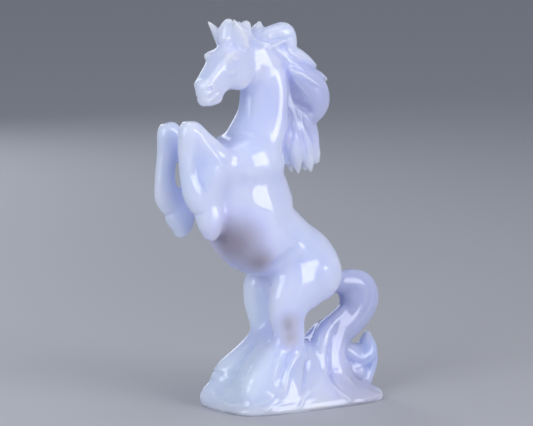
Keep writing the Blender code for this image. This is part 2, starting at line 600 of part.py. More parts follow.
def carve_body(chisel):
    """The edges of the fore legs, the bands above their hooves, and the hollows of the body."""
    for side in (-1, 1):
        leg = 0.5 * FORE_LEG_SPACING / SHARE * side
        crease = [
            (-38.9, 12.6 * side, 101.8), (-35.7, 9.6 * side, 102.7), (-30.5, 6 * side, 103),
            (-27, 8 * side, 103.6),
        ]
        chisel.stroke(crease, 2.0, 0.2)
        forearm_edge = [
            (-51.5, leg + 3 * side, 110.1), (-47.7, leg + 3.7 * side, 108.9),
            (-45.3, leg + 4.5 * side, 105.1),
            (-42.4, leg + 5.4 * side, 101.3), (-39.5, leg + 6 * side, 97.9), (-38.2, leg + 6.2 * side, 94.6),
        ]
        chisel.stroke(forearm_edge, 1.6, -0.5, sharp=True)
        behind_cannon = [
            (-49.7, leg + 3.4 * side, 102.3), (-48.5, leg + 2.6 * side, 96.5),
            (-47.2, leg + 2.4 * side, 91.6),
            (-44.9, leg + 2.8 * side, 88.1), (-42.4, leg + 2.9 * side, 85.7),
        ]
        chisel.stroke(behind_cannon, 1.6, 0.3)
        cannon_edge = [
            (-52, leg + 3 * side, 100.5), (-51.2, leg + 2.8 * side, 94.1), (-49.7, leg + 3 * side, 89.6),
            (-47.2, leg + 3.5 * side, 84.6),
        ]
        chisel.stroke(cannon_edge, 1.2, -0.35, sharp=True)
        front, level = (-47.6, 78) if side < 0 else (-52, 76.2)
        band = [
            (front + 3, leg - 3.6, level + 1), (front + 0.6, leg - 1.6, level),
            (front + 0.6, leg + 1.6, level),
            (front + 3, leg + 3.6, level + 1),
        ]
        chisel.stroke(band, 1.1, 0.45)
        chisel.stroke([(-34, 13 * side, 91), (-28, 15 * side, 88), (-20, 15 * side, 89)], 4.4, 0.4, fade=0.5)
        chisel.stroke([(-20, 12 * side, 53), (-13, 15 * side, 57.6), (-6, 15 * side, 64)], 3.2, 0.6)
        chisel.stroke(
            [(-12.6, 13.4 * side, 39), (-11, 12.8 * side, 32.2), (-8.4, 12.4 * side, 27)], 3.4, 0.9, fade=0.5
        )


def carve_rock(chisel):
    """Leaves of stone at the hind feet, crisp at the front, and folds over the base's rim."""
    for side in (-1, 1):
        leaf = [
            (-3.6, 12.3 * side, 22), (-5.6, 13.1 * side, 21.3), (-8.2, 13.9 * side, 19.8),
            (-11.3, 14.9 * side, 15.6),
            (-13.3, 16.0 * side, 9.9), (-14.5, 15.9 * side, 6.5),
        ]
        chisel.stroke(leaf, 1.8, -0.9, sharp=True)
        before_leaf = [
            (-7.6, 13.2 * side, 23.6), (-11, 13.8 * side, 20), (-14, 14.6 * side, 15),
            (-16, 15.4 * side, 9.8),
        ]
        chisel.stroke(before_leaf, 1.8, 0.6)
        behind_leaf = [
            (-0.5, 9.0 * side, 18.6), (-1.7, 10.2 * side, 15.6), (-4.4, 13.4 * side, 9.9),
            (-6.0, 15.6 * side, 5.9),
        ]
        chisel.stroke(behind_leaf, 2.0, 0.8)
        blade = [
            (-13, 12.4 * side, 24), (-14, 12.8 * side, 21.8), (-16.2, 13.5 * side, 17.4),
            (-17.8, 13.8 * side, 13),
        ]
        chisel.stroke(blade, 1.5, -0.6, sharp=True)
        fold = [
            (-23.2, 16.0 * side, 1.6), (-20.5, 16.6 * side, 3.1), (-16.2, 16.6 * side, 3.9),
            (-8.7, 16.5 * side, 4.1),
        ]
        chisel.stroke(fold, 1.5, -0.5, sharp=True)
        fold = [(9, 11.7 * side, 8.3), (11.4, 15.2 * side, 5.2), (14.6, 17.3 * side, 2.3)]
        chisel.stroke(fold, 1.5, -0.4, sharp=True)
    # The hollow that sets the far foot off from the rock.
    beside_foot = [(-13.4, 3.2, 25), (-17.6, 3.2, 19.4), (-22.4, 3.4, 14.6), (-26.2, 3.6, 10.6)]
    chisel.stroke(beside_foot, 2.6, 0.8)
    # The gap between the far hoof and the stone in front of it.
    chisel.stroke([(-28, 13.6, 12), (-29.4, 11, 12.6), (-29, 8, 13), (-28, 5.6, 12.3)], 1.3, 0.8)


def carve():
    """The whole statue in millimetres, as one body of fine facets."""
    bm = bmesh.new()
    for add in (add_trunk, add_near_fore_leg, add_far_fore_leg, add_near_hind_leg, add_far_hind_leg):
        add(bm)
    for add in (add_head, add_tail, add_rock, add_base):
        add(bm)
    bmesh.ops.recalc_face_normals(bm, faces=bm.faces)
    flesh = body_of(bm, "flesh")
    fuse(flesh, ROUGH_CUBE)
    soften(flesh, rounds=24, crests=0.12)
    melt = melting(flesh)
    soften(flesh, rounds=30, crests=melt, hollows=melt)
    bm = bmesh.new()
    for add in (add_ears, add_forelock, add_mane, add_tail, add_tail_hook, add_base):
        add(bm)
    bmesh.ops.recalc_face_normals(bm, faces=bm.faces)
    bm.from_mesh(flesh.data)
    bpy.data.objects.remove(flesh)
    horse = body_of(bm, "horse_carving")
    fuse(horse, FINE_CUBE)
    soften(horse, rounds=4, crests=0.3)
    chisel = Chisel(horse)
    carve_head(chisel)
    carve_hair(chisel)
    carve_body(chisel)
    carve_rock(chisel)
    chisel.finish()
    soften(horse, rounds=2, crests=0.4, hollows=0.4)
    return horse


def thin_out(body, most):
    """Brings the facets down to a number, keeping more where the skin bends more."""
    body.data.calc_loop_triangles()
    decimate = body.modifiers.new("thin", "DECIMATE")
    decimate.ratio = most / len(body.data.loop_triangles)
    apply_modifiers(body)


def cut_flat(body):
    """Saws the underside flat at the floor."""
    bm = bmesh.new()
    bm.from_mesh(body.data)
    bmesh.ops.bisect_plane(
        bm, geom=bm.verts[:] + bm.edges[:] + bm.faces[:], plane_no=(0, 0, 1), clear_inner=True
    )
    bmesh.ops.holes_fill(bm, edges=[edge for edge in bm.edges if edge.is_boundary])
    bm.to_mesh(body.data)
    bm.free()


def stone():
    material = bpy.data.materials.new("pale_stone")
    material.use_nodes = True
    shader = material.node_tree.nodes["Principled BSDF"]
    shader.inputs["Base Color"].default_value = (0.66, 0.7, 0.88, 1)
    shader.inputs["Roughness"].default_value = 0.12
    shader.inputs["Metallic"].default_value = 0
    return material


def main():
    for item in list(bpy.data.objects):
        bpy.data.objects.remove(item)
    horse = carve()
    thin_out(horse, MOST_TRIANGLES)
    cut_flat(horse)
    horse.data.transform(Matrix.Scale(MILLIMETRE, 4))
    horse.data.shade_smooth()
    horse.data.materials.append(stone())
    collection = bpy.data.collections.new("horse_carving")
    bpy.context.scene.collection.children.link(collection)
    bpy.context.scene.collection.objects.unlink(horse)
    collection.objects.link(horse)


main()
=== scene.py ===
"""The looks of a rearing horse that is carved with its base from one piece of pale translucent stone.

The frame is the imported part: the horse faces -X with its near (left) side toward -Y, and the origin is
the middle of the base's underside. The carving is drawn in shares of the height, 150 to the whole.
"""

import math

import bmesh
import bpy
import numpy as np
from mathutils import Matrix, Vector, noise


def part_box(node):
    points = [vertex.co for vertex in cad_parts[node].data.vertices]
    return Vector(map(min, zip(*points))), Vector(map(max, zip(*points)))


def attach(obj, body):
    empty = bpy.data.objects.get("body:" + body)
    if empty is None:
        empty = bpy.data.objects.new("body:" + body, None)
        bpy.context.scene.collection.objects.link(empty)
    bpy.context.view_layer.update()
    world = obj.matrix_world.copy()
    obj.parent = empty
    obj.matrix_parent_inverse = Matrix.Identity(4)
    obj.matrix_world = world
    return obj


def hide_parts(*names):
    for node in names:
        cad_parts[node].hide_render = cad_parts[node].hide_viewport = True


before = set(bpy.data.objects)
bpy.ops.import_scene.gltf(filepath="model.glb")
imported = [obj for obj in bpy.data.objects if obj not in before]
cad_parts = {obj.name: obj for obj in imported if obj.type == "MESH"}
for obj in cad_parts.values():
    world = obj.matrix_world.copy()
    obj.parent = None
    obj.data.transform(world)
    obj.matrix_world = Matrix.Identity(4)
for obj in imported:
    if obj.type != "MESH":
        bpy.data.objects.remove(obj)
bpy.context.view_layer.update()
LOWEST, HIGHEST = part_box("horse_carving")

bl_info = {
    "name": "Carved stone horse",
    "version": (1, 0, 0),
    "blender": (4, 5, 0),
    "location": "3D View > Sidebar > Stone Horse",
    "description": "Carves a rearing horse from pale translucent stone and lights it on a plain floor",
    "category": "Object",
}

# The height of the statue in shares, where its head meets the neck, and how far the head turns there.
WHOLE = 150
POLL = (-21.0, 0.0, 138.7)
HEAD_TURN = math.radians(22)

# Bodies: the steps from one given section to the next, and the least half width. A lock: the share of
# its width at the root, and how it tapers.
BODY_STEPS = 4
THINNEST = 0.05
LOCK_ROOT = 0.75
LOCK_TAPER = 0.8

# The base: how square its corners are, less being squarer, and how far its fore end lies aslant.
CORNER_POWER = 0.45
END_SLANT = 0.11

# The small cubes that fuse the flesh, in shares.
ROUGH_CUBE = 0.9

# Softening: how far a place moves toward its neighbours' middle, and the rounds between new normals.
SOFTENING_STEP = 0.5
ROUNDS_PER_NORMAL = 5

# The hind feet melt into the rock: fully below the first level, in shares, and not above the second.
MELTED_BELOW = 20
FIRM_ABOVE = 36
MOST_MELTING = 0.8

# Strokes: how far off the skin one may be drawn, in shares, the steps from point to point, how steep
# a sharp one is across, and the share of the depth that is left at both ends.
STROKE_REACH = 4
STROKE_STEPS = 12
SHARPNESS = 1.4
DEPTH_AT_END = 0.15

# What hand polishing leaves: waves, each with its frequency per share and its strength.
WAVES = ((0.11, 1.0), (0.27, 0.35))

# AS_DRAWN leaves a body or a stroke where it is. BOTH_SIDES lays a stroke on the near side, then the far.
AS_DRAWN = Matrix.Identity(4)
BOTH_SIDES = (Matrix.Diagonal((1, -1, 1, 1)), AS_DRAWN)


def smooth_through(points, steps):
    """Points along a smooth curve through the given ones, which may carry further values."""
    rows = np.array(points, float)
    rows = np.vstack([2 * rows[0] - rows[1], rows, 2 * rows[-1] - rows[-2]])
    out = []
    for before, a, b, after in zip(rows, rows[1:], rows[2:], rows[3:]):
        for t in np.arange(steps) / steps:
            out.append(
                a
                + 0.5 * t * (b - before)
                + 0.5 * t**2 * (2 * before - 5 * a + 4 * b - after)
                + 0.5 * t**3 * (3 * a - before - 3 * b + after)
            )
    out.append(rows[-2])
    return np.array(out)


def sections(path, across):
    """A matrix for each place on the path, that lays a unit circle across it as an ellipse."""
    out = []
    across = Vector(across)
    last = len(path) - 1
    for k, (x, y, z, wide, deep) in enumerate(path):
        along = Vector(path[min(k + 1, last)][:3] - path[max(k - 1, 0)][:3]).normalized()
        level = across - along * across.dot(along)
        level.normalize()
        turn = Matrix((level, along.cross(level), along)).transposed().to_4x4()
        size = Matrix.Diagonal((max(wide, THINNEST), max(deep, THINNEST), 1, 1))
        out.append(Matrix.Translation((x, y, z)) @ turn @ size)
    return out


def grow(bm, ring, places):
    """Extrudes the cap of a ring from place to place, each a matrix."""
    end = ring["verts"][0].link_faces[0]
    keep = True
    for here, ahead in zip(places, places[1:]):
        grown = bmesh.ops.extrude_face_region(bm, geom=[end], use_keep_orig=keep)["geom"]
        end = next(g for g in grown if isinstance(g, bmesh.types.BMFace))
        bmesh.ops.transform(bm, matrix=ahead @ here.inverted(), verts=list(end.verts))
        keep = False


def loft(bm, stations, across=(0, 1, 0), segments=20, place=AS_DRAWN):
    """A closed body through elliptical sections, each x, y, z, half width and half depth."""
    places = [place @ section for section in sections(smooth_through(stations, BODY_STEPS), across)]
    ring = bmesh.ops.create_circle(bm, cap_ends=True, segments=segments, radius=1, matrix=places[0])
    grow(bm, ring, places)


def lock(bm, points, wide, deep, tip=0.12, full=0.35, place=AS_DRAWN):
    """A lock of hair: widest a part of the way along, and thin at its tip."""
    stations = []
    for k, point in enumerate(points):
        t = k / (len(points) - 1)
        if t < full:
            share = LOCK_ROOT + (1 - LOCK_ROOT) * math.sin(0.5 * math.pi * t / full)
        else:
            share = tip + (1 - tip) * math.cos(0.5 * math.pi * (t - full) / (1 - full)) ** LOCK_TAPER
        stations.append((*point, wide * share, deep * share))
    loft(bm, stations, segments=16, place=place)


def ball(bm, centre, radii, place=AS_DRAWN):
    matrix = place @ Matrix.Translation(centre) @ Matrix.Diagonal((*radii, 1))
    bmesh.ops.create_uvsphere(bm, u_segments=24, v_segments=16, radius=1, matrix=matrix)


def on_side(side, points):
    """The points on the far side where side is 1, and mirrored to the near one where it is -1."""
    return [(p[0], side * p[1], *p[2:]) for p in points]


def head_place():
    """The head is drawn looking along -X from where it meets the neck, and turned there."""
    return Matrix.Translation(POLL) @ Matrix.Rotation(HEAD_TURN, 4, "Z")


def add_trunk(bm):
    chest_to_rump = [
        (-28, 0, 103, 6.5, 6.5), (-26, 0, 97.5, 10.5, 12.5), (-24.2, 0, 88.5, 13, 17.4),
        (-21.6, 0, 77.8, 14.2, 18.6), (-16, 0, 67.8, 14, 17.5), (-3.2, 0, 60.6, 13.2, 12.4),
        (4.6, 0, 55.6, 12.4, 11.4), (11, 0, 49.8, 10.4, 8.8), (14, 0, 45, 6, 5),
    ]
    loft(bm, chest_to_rump, segments=32)
    neck = [
        (-21.5, 0, 86, 9, 12), (-20.5, 0, 95, 10, 13.5), (-17.6, 0, 103, 9, 12),
        (-14.8, 0, 110.5, 7.4, 10.6), (-14, 0, 117.5, 6.6, 10), (-14.2, 0, 125, 6.2, 9.6),
        (-15.8, -0.5, 132.5, 6, 8), (-20, -1, 138, 5.4, 6.5),
    ]
    loft(bm, neck, segments=28)
    for side in (-1, 1):
        flank = [
            (-14.8, 1.6, 132.5, 3.4, 4), (-11.4, 2.6, 126.5, 4.4, 5), (-10.6, 3.0, 116.5, 4.9, 5.4),
            (-12.6, 3.4, 108, 5.6, 6), (-16, 4.4, 101, 6.2, 6),
        ]
        loft(bm, on_side(side, flank))
        ball(bm, (-23, 5.2 * side, 94.6), (14.6, 9, 11.6))
    ball(bm, (-34, 0, 98.6), (7.6, 9, 5.8))


def add_forearm(bm, y, forward, up, back):
    """Shoulder, forearm and knee, and the stone left standing between the forearm and the cannon."""
    out = math.copysign(1, y)
    x, z = -49.5 + forward, 109.6 + up
    forearm = [
        (-24, 6 * out, 91, 6, 8), (-32, 6.6 * out, 92.4, 5.2, 8.6), (-38.8, 8.0 * out, 97.2, 4.9, 7),
        (x + 4.8, y + 0.3 * out, z - 4.9, 4.4, 4.8), (x + 1.6, y, z - 1.0, 3.8, 4.2),
        (x, y, z - 0.2, 3.4, 3.8),
    ]
    loft(bm, forearm)
    breast = [
        (-37, 1.05 * y, 101, 4.6, 6), (-40.4 + back, 1.08 * y, 95, 5, 6.6),
        (-41.5 + back, 1.05 * y, 89, 4.7, 6.2), (-41, y, 82, 3.8, 4.8), (-39, 0.9 * y, 77, 3, 4),
    ]
    loft(bm, breast)


def add_near_fore_leg(bm, sizes):
    """The cannon hangs from the knee, and the hoof is folded back."""
    y = -0.5 * sizes.fore_leg_spacing / sizes.share()
    add_forearm(bm, y, 0, 0, 0)
    cannon = [
        (-49, y, 112.6, 3, 2.8), (-49.7, y, 108.6, 3.9, 4.2), (-50.4, y, 102, 3.4, 3.7),
        (-50.4, y, 96, 3.1, 3.5), (-49.6, y, 90.5, 3.1, 3.7), (-47.8, y, 85.5, 3.6, 4.5),
        (-45, y, 81.5, 3.7, 4.8), (-43, y, 79, 3.6, 4.8),
    ]
    loft(bm, cannon)
    hoof = [
        (-43, y, 81, 3.4, 4.6), (-41.4, y, 78.3, 4.4, 6), (-40.9, y, 74.4, 4.6, 5.5),
        (-40.9, y, 70.4, 4, 4), (-41.8, y, 67.5, 2.8, 1.7),
    ]
    loft(bm, hoof)


def add_far_fore_leg(bm, sizes):
    y = 0.5 * sizes.fore_leg_spacing / sizes.share()
    add_forearm(bm, y, -1.6, -1.6, 2.8)
    cannon = [
        (-50.6, y, 110.2, 3, 2.8), (-51, y, 106.8, 3.8, 4.2), (-50.9, y, 101.5, 3.4, 4.3),
        (-51.7, y, 95, 3.2, 4.1), (-52.1, y, 89, 3.2, 4.3), (-51.4, y, 83.2, 3.7, 5.1),
        (-49.2, y, 79.4, 3.8, 4.9), (-46.4, y, 77, 3.8, 4.8),
    ]
    loft(bm, cannon)
    hoof = [
        (-47.6, y, 79, 3.4, 4.4), (-46.4, y, 76.4, 4.4, 5.8), (-45.6, y, 73, 4.6, 5.6),
        (-45.8, y, 69.4, 4, 3.8), (-46.8, y, 66.8, 2.8, 1.2),
    ]
    loft(bm, hoof)


def add_near_hind_leg(bm):
    ball(bm, (4.6, -6.2, 50.4), (11.8, 7.4, 11.4))
    leg = [
        (4, -6, 54, 7, 11), (-1.5, -7.6, 48.5, 7.2, 12), (-6.5, -8.3, 42.5, 6.4, 9.8),
        (-8.4, -8.5, 36.5, 5.4, 7.8), (-8, -8.6, 31, 4.8, 6.6), (-7.6, -8.7, 26.8, 4.4, 6.4),
        (-11.4, -8.7, 22.8, 4.2, 5.2), (-16.4, -8.7, 18.4, 4.2, 4.6), (-20.4, -8.6, 14.2, 4.4, 4.6),
    ]
    loft(bm, leg, segments=24)
    hoof = [
        (-20, -8.6, 14.6, 4.2, 4.4), (-22.6, -8.4, 11.6, 5, 4.8), (-24, -8.2, 8.4, 5.2, 4.6),
        (-24.2, -8, 4, 5.4, 4.6),
    ]
    loft(bm, hoof)


def add_far_hind_leg(bm):
    leg = [
        (3, 5, 54, 7, 11), (-4, 7.2, 50, 7, 11), (-10.5, 8, 46, 6, 7.6), (-12.6, 8, 40, 5, 5.3),
        (-11.8, 8, 33.5, 4.4, 4.6), (-10.2, 8, 28, 4.5, 4.6), (-13.4, 8, 22.8, 4.6, 4.6),
        (-19.2, 8.2, 18.2, 4.6, 4.6), (-24.6, 8.6, 13.8, 4.8, 4.8),
    ]
    loft(bm, leg, segments=24)
    hoof = [
        (-22.6, 8.6, 15.6, 4.7, 4.8), (-25, 9, 13.4, 5.2, 5), (-26.6, 9.2, 11.6, 5, 4.6),
        (-27, 9.6, 8, 4, 3.6),
    ]
    loft(bm, hoof)


def add_head(bm):
    place = head_place()
    skull = [
        (4, 0, -1, 4.8, 6.5), (-2.5, 0, -3, 5.4, 8.4), (-8.4, 0, -5.6, 6, 9.6), (-12.6, 0, -8.2, 5.8, 8.4),
        (-16.5, 0, -10.9, 4.9, 6.1), (-20, 0, -13.5, 4.3, 5.3), (-23, 0, -15.5, 3.9, 4.9),
        (-25.2, 0, -16.2, 3.3, 4.2), (-26.4, 0, -16.4, 2.4, 3.2),
    ]
    loft(bm, skull, segments=24, place=place)
    for side in (-1, 1):
        ball(bm, (-7.6, 2.5 * side, -9), (6.8, 3.9, 7.2), place)
        ball(bm, (0, 3.6 * side, -8.2), (4.8, 3.8, 5.4), place)
        ball(bm, (-13.4, 4.1 * side, -3.9), (2.6, 2.1, 1.9), place)
        bridge = [
            (-10, 2.2, -1.8, 2.4, 2.4), (-17, 2.6, -5.4, 2.4, 2.4), (-20.8, 2.4, -8.6, 2.2, 2.2),
            (-24.4, 2.2, -11.6, 1.9, 1.9),
        ]
        loft(bm, on_side(side, bridge), segments=16, place=place)
        brow = [
            (-9.6, 4.6, -2.6, 0.6, 0.6), (-13.2, 4.9, -1.8, 1, 1), (-17.6, 5.3, -2.5, 1.3, 1.3),
            (-18.4, 4.6, -4.4, 0.7, 0.7),
        ]
        loft(bm, on_side(side, brow), segments=12, place=place)
        ball(bm, (-26.4, 2.5 * side, -12.6), (1.5, 1.5, 1.5), place)
    muzzle = [
        (-25, 0, -11, 2.6, 2), (-25.4, 0, -12.6, 3.4, 3), (-24.9, 0, -15.4, 3.5, 3.3),
        (-24.5, 0, -18, 3.4, 3), (-23.6, 0, -20, 2.6, 2.2),
    ]
    loft(bm, muzzle, segments=24, place=place)
    ball(bm, (-22, 0, -18.4), (3.2, 3, 2.6), place)
    ball(bm, (-19.2, 0, -17.8), (3.4, 3.2, 2.8), place)


def add_ears(bm):
    place = head_place()
    near = [
        (-8.2, -3.4, -0.8, 2.8, 1.8), (-9.6, -4.2, 2.6, 3.7, 1.6), (-11.1, -4.6, 5.6, 3, 1.3),
        (-12.6, -4.8, 8.4, 1.7, 0.8), (-14.1, -5, 11.2, 0.3, 0.3),
    ]
    loft(bm, near, across=(0.63, -0.78, 0), place=place)
    far = [
        (-10.6, 3.4, 0.4, 2.6, 1.8), (-11.6, 4.1, 3.6, 3.1, 1.8), (-13.6, 4.6, 6.8, 2.5, 1.4),
        (-16.9, 5, 9.9, 0.4, 0.4),
    ]
    loft(bm, far, across=(0.63, 0.78, 0), place=place)


def add_forelock(bm):
    place = head_place()
    flame = [
        (-10, 0, 0, 2.8, 3), (-12.8, 0, 3, 3, 2.6), (-12.9, -0.4, 6.6, 3, 2.4), (-12, -1, 9.4, 2.2, 1.7),
        (-11.2, -1.4, 10.7, 0.9, 0.8),
    ]
    loft(bm, flame, place=place)
    tuft = [(-9, -1.4, 1), (-8.8, -1.6, 5), (-7.6, -1.6, 7.6), (-6.4, -1.6, 9.2)]
    lock(bm, tuft, 2.4, 2.8, tip=0.4, place=place)
    tuft = [(-5, -1.4, 1), (-4, -1.6, 5), (-2.8, -1.6, 7.6), (-1.6, -1.6, 9.2)]
    lock(bm, tuft, 2.4, 3.0, tip=0.4, place=place)
    spike = [(1, -0.4, 0), (4, -0.6, 4), (5.6, -0.8, 6.6), (6.5, -0.8, 9)]
    lock(bm, spike, 2.6, 2.6, place=place)
    ball(bm, (-4.6, -1.6, 4.6), (4.4, 2.6, 4), place)


def add_mane(bm):
    crest = [
        (-18, -0.5, 139, 4, 5), (-11, 0, 136.5, 4.4, 5.5), (-6, 0, 129, 4.6, 5), (-4, 0, 119, 4.8, 5),
        (-3.8, 0, 109, 5, 5), (-4.6, 0, 99, 4.6, 4.4), (-5, 0, 93, 3, 3),
    ]
    loft(bm, crest)
    curl = [
        (-17, -1, 140.5, 2.6, 2.6), (-13.5, -1.2, 141.8, 3.6, 3.4), (-9, -1.2, 142.7, 4.4, 4.1),
        (-5.8, -1, 142.4, 4.4, 4.4), (-4.2, -0.6, 137.5, 4, 3.6), (-4.4, 0, 133, 3, 3),
    ]
    loft(bm, curl)
    cape = [
        (-10, 0, 133, 4.6, 5), (-3, 0, 131.2, 4.4, 4.6), (3, 0, 128.6, 3.8, 3.2),
        (7, -0.4, 126.4, 2.8, 1.8),
    ]
    loft(bm, cape)
    upper = [(-10, -0.5, 136), (-4, -0.5, 135.4), (1, 0, 133.1), (5.2, 0, 131), (8.9, 0, 129.6)]
    lock(bm, upper, 4.2, 3.4, tip=0.16)
    second = [(-2, 0, 128.8), (3, 0, 128), (7, 0, 126.5), (10.2, 0, 125.5), (13.6, 0, 124.2)]
    lock(bm, second, 3.8, 2.6, tip=0.24)
    round_lock = [
        (-7, -1.4, 128, 3, 3), (-1, -2, 126.6, 3.8, 4.2), (4.6, -2.2, 121.8, 4.4, 6.6),
        (7, -2, 116.6, 4.2, 6.4), (5.5, -1.6, 111.4, 3.2, 4.6), (3.5, -1.4, 107.5, 1.4, 1.8),
    ]
    loft(bm, round_lock)
    loft(bm, on_side(-1, round_lock))
    long_lock = [
        (-4, -1.4, 118), (0.6, -1.6, 112.5), (4, -1.2, 105.5), (5.2, -0.8, 99), (8, 0, 94.5),
        (10.4, 0, 92.6),
    ]
    lock(bm, long_lock, 3.8, 4.6, tip=0.1, full=0.5)
    for side in (-1, 1):
        middle = [(-5, 3, 113), (-1.6, 3.6, 106.5), (1.4, 3.4, 100), (3.8, 2.6, 94), (5.6, 2, 89.4)]
        lock(bm, on_side(side, middle), 3.0, 3.8, full=0.4)
        lowest = [(-7, 3.4, 109), (-4.2, 3.8, 102.5), (-2.2, 3.6, 96), (-0.2, 2.6, 89)]
        lock(bm, on_side(side, lowest), 2.8, 3.6, full=0.4)
    far = [(-4, 3, 116), (0, 3.2, 110), (3, 3, 103), (5, 2.6, 97), (8.2, 2.2, 91.2)]
    lock(bm, far, 3.2, 4.2, full=0.45)


def add_tail(bm):
    """The tail rises in an arc and falls in two broad locks that run out over the base."""
    body = [
        (14, 0, 46.8, 4.2, 4.6), (19, 0, 45.2, 4.2, 4.4), (24, 0, 44.6, 4.8, 5.4), (28.6, 0, 42, 5, 6.8),
        (28.9, 0, 36.6, 5.2, 7.8), (25, 0, 31, 5.4, 7), (18.8, 0, 26.4, 5.6, 7), (14.4, 0, 21.2, 5.8, 8.2),
        (12.8, 0, 15, 6.4, 10.2), (14, 0, 7, 8, 13), (14, 0, 0, 9, 16),
    ]
    loft(bm, body, segments=32)
    ball(bm, (24.6, 0, 39.8), (5, 4.6, 4.6))
    for side in (-1, 1):
        # The lock on the far side lies lower, so that the gap below the rump stays open.
        low = 1 + side
        inner = [
            (25, 0.4, 36.6 - low), (18.6, 1.2, 31.8 - low), (12.8, 2.4, 28.2 - low), (9.6, 3.8, 24.2 - low),
            (7.6, 4.6, 18.6), (6.8, 6.6, 12), (4, 10.2, 7.6), (-2, 13.2, 4.8), (-6.6, 15.2, 2.6),
        ]
        lock(bm, on_side(side, inner), 3.8, 3.8, tip=0.5)
        outer = [
            (28.4, 0.2, 38.4), (24.2, 0.6, 32.6), (19, 1.8, 26.8), (15.6, 3.4, 21.2), (14.6, 4.4, 15.4),
            (15.2, 6.6, 10.2), (17.2, 10, 6.4), (20.6, 13.4, 3),
        ]
        lock(bm, on_side(side, outer), 3.8, 4.4, tip=0.4)


def add_tail_hook(bm):
    """The foot of the tail, that curls back up like a breaking wave."""
    crest = [
        (18, 0, 20.6, 4, 3.6), (22.6, -0.4, 17.6, 4.2, 4), (27.4, -0.6, 15.2, 4.6, 5),
        (31, -0.6, 16.2, 4.6, 5), (31.9, -0.4, 19.2, 3.8, 3.9), (32.3, 0, 22.2, 2.4, 2.5),
        (32.7, 0, 24.8, 0.7, 0.6),
    ]
    loft(bm, crest)
    back = [
        (32, 0, 20, 3.6, 2.4), (33.2, 0, 15, 4.6, 3), (32.2, 0, 10.4, 5, 3.2), (29.6, 0, 6, 5.4, 4),
        (27, 0, 2, 6, 5),
    ]
    loft(bm, back)
    loft(bm, [(20, 0, 10, 5, 6), (27, 0, 9, 5.4, 6), (30, 0, 9, 4.6, 4.4)])
    foot = [(20, 0, 3, 8, 5), (28, 0, 3.2, 10, 3.6), (32, -1, 2.4, 11, 2), (34, -1.4, 1.6, 10, 1.2)]
    loft(bm, foot)


def add_base(bm, sizes):
    """A low slab with rounded corners, its fore end aslant, that rises toward the legs."""
    length = sizes.base_length / sizes.share()
    width = sizes.base_width / sizes.share()
    rim_height = sizes.base_rim / sizes.share()
    ring = bmesh.ops.create_circle(bm, cap_ends=True, segments=64, radius=1)
    for vert in ring["verts"]:
        c, s = (math.copysign(abs(v) ** CORNER_POWER, v) for v in vert.co.xy)
        y = 0.5 * width * s
        vert.co = (0.5 * length * c - END_SLANT * y * (1 - c), y, 0)
    rim = [(0.97, 0.97, -1.2), (0.985, 0.985, 0), (1, 1, 0.5), (0.98, 0.98, 1)]
    levels = [(long, wide, 0, rim_height * level) for long, wide, level in rim]
    slope = [
        (0.9, 0.92, -1.2, 1.6), (0.8, 0.84, -3.6, 3.6), (0.68, 0.74, -6, 5.8), (0.5, 0.6, -8, 8.4),
        (0.3, 0.4, -9, 11),
    ]
    for long, wide, shift, rise in slope:
        levels.append((long, wide, shift, rim_height + rise))
    places = []
    for long, wide, shift, level in levels:
        places.append(Matrix.Translation((shift, 0, level)) @ Matrix.Diagonal((long, wide, 1, 1)))
    bmesh.ops.transform(bm, matrix=places[0], verts=ring["verts"])
    grow(bm, ring, places)


def add_rock(bm):
    """Stone that rises from the base to the hind legs and fills the gap between them."""
    web = [
        (-17, 1, 1, 10, 13.6), (-14, 1, 11, 9.6, 10), (-8.8, 1, 21, 9, 7.8), (-5.8, 1, 28, 8.6, 6),
        (-5, 0.8, 35, 8.2, 5.4), (-5.4, 0, 42, 7.6, 5.8), (-6.4, 0, 50, 7, 6.6),
    ]
    loft(bm, web)
    toe_rest = [
        (-22, 9.4, 4.6, 5.8, 7.2), (-28, 9.6, 4.4, 5.8, 6.8), (-32.4, 9.8, 2.6, 5.6, 5.2),
        (-35.4, 9.8, 1, 4, 2.8),
    ]
    loft(bm, toe_rest)
    for side in (1, -1):
        skirt = [
            (-10, 4, 1, 12.5, 19), (-11, 4.4, 8, 11.8, 16), (-10.4, 5, 15, 9.9, 12.2),
            (-8.2, 5.8, 21, 7.8, 8.8), (-5.6, 6.8, 27, 5.4, 5.3), (-4.6, 7, 32, 3, 3),
        ]
        loft(bm, on_side(side, skirt), segments=28)
        apron = [(0, 9.4, 1, 6.4, 5.6), (14, 9, 1, 6.8, 4.8), (25, 7, 1, 7.2, 5), (31, 4, 1, 6, 4)]
        loft(bm, on_side(side, apron))
    between = [
        (2, 0, 0, 13, 7), (2.4, 0, 8, 11.5, 5.5), (2.2, 0, 16, 10, 4.4), (0, 0, 22, 8, 4),
        (-2, 0, 26, 5, 3),
    ]
    loft(bm, between)


def body_of(bm, name):
    """A new object with the bodies drawn so far."""
    mesh = bpy.data.meshes.new(name)
    bm.to_mesh(mesh)
    bm.free()
    body = bpy.data.objects.new(name, mesh)
    bpy.context.scene.collection.objects.link(body)
    return body


def apply_modifiers(body):
    graph = bpy.context.evaluated_depsgraph_get()
    mesh = bpy.data.meshes.new_from_object(body.evaluated_get(graph))
    body.modifiers.clear()
    body.data = mesh


def fuse(body, cube):
    """Joins the overlapping bodies into one skin."""
    remesh = body.modifiers.new("fuse", "REMESH")
    remesh.mode = "VOXEL"
    remesh.voxel_size = cube
    apply_modifiers(body)


def vertex_values(vertices, name):
    """A row of three values for each vertex: where it is, or which way the skin faces there."""
    values = np.empty(3 * len(vertices), np.float32)
    vertices.foreach_get(name, values)
    return values.reshape(-1, 3).astype(float)


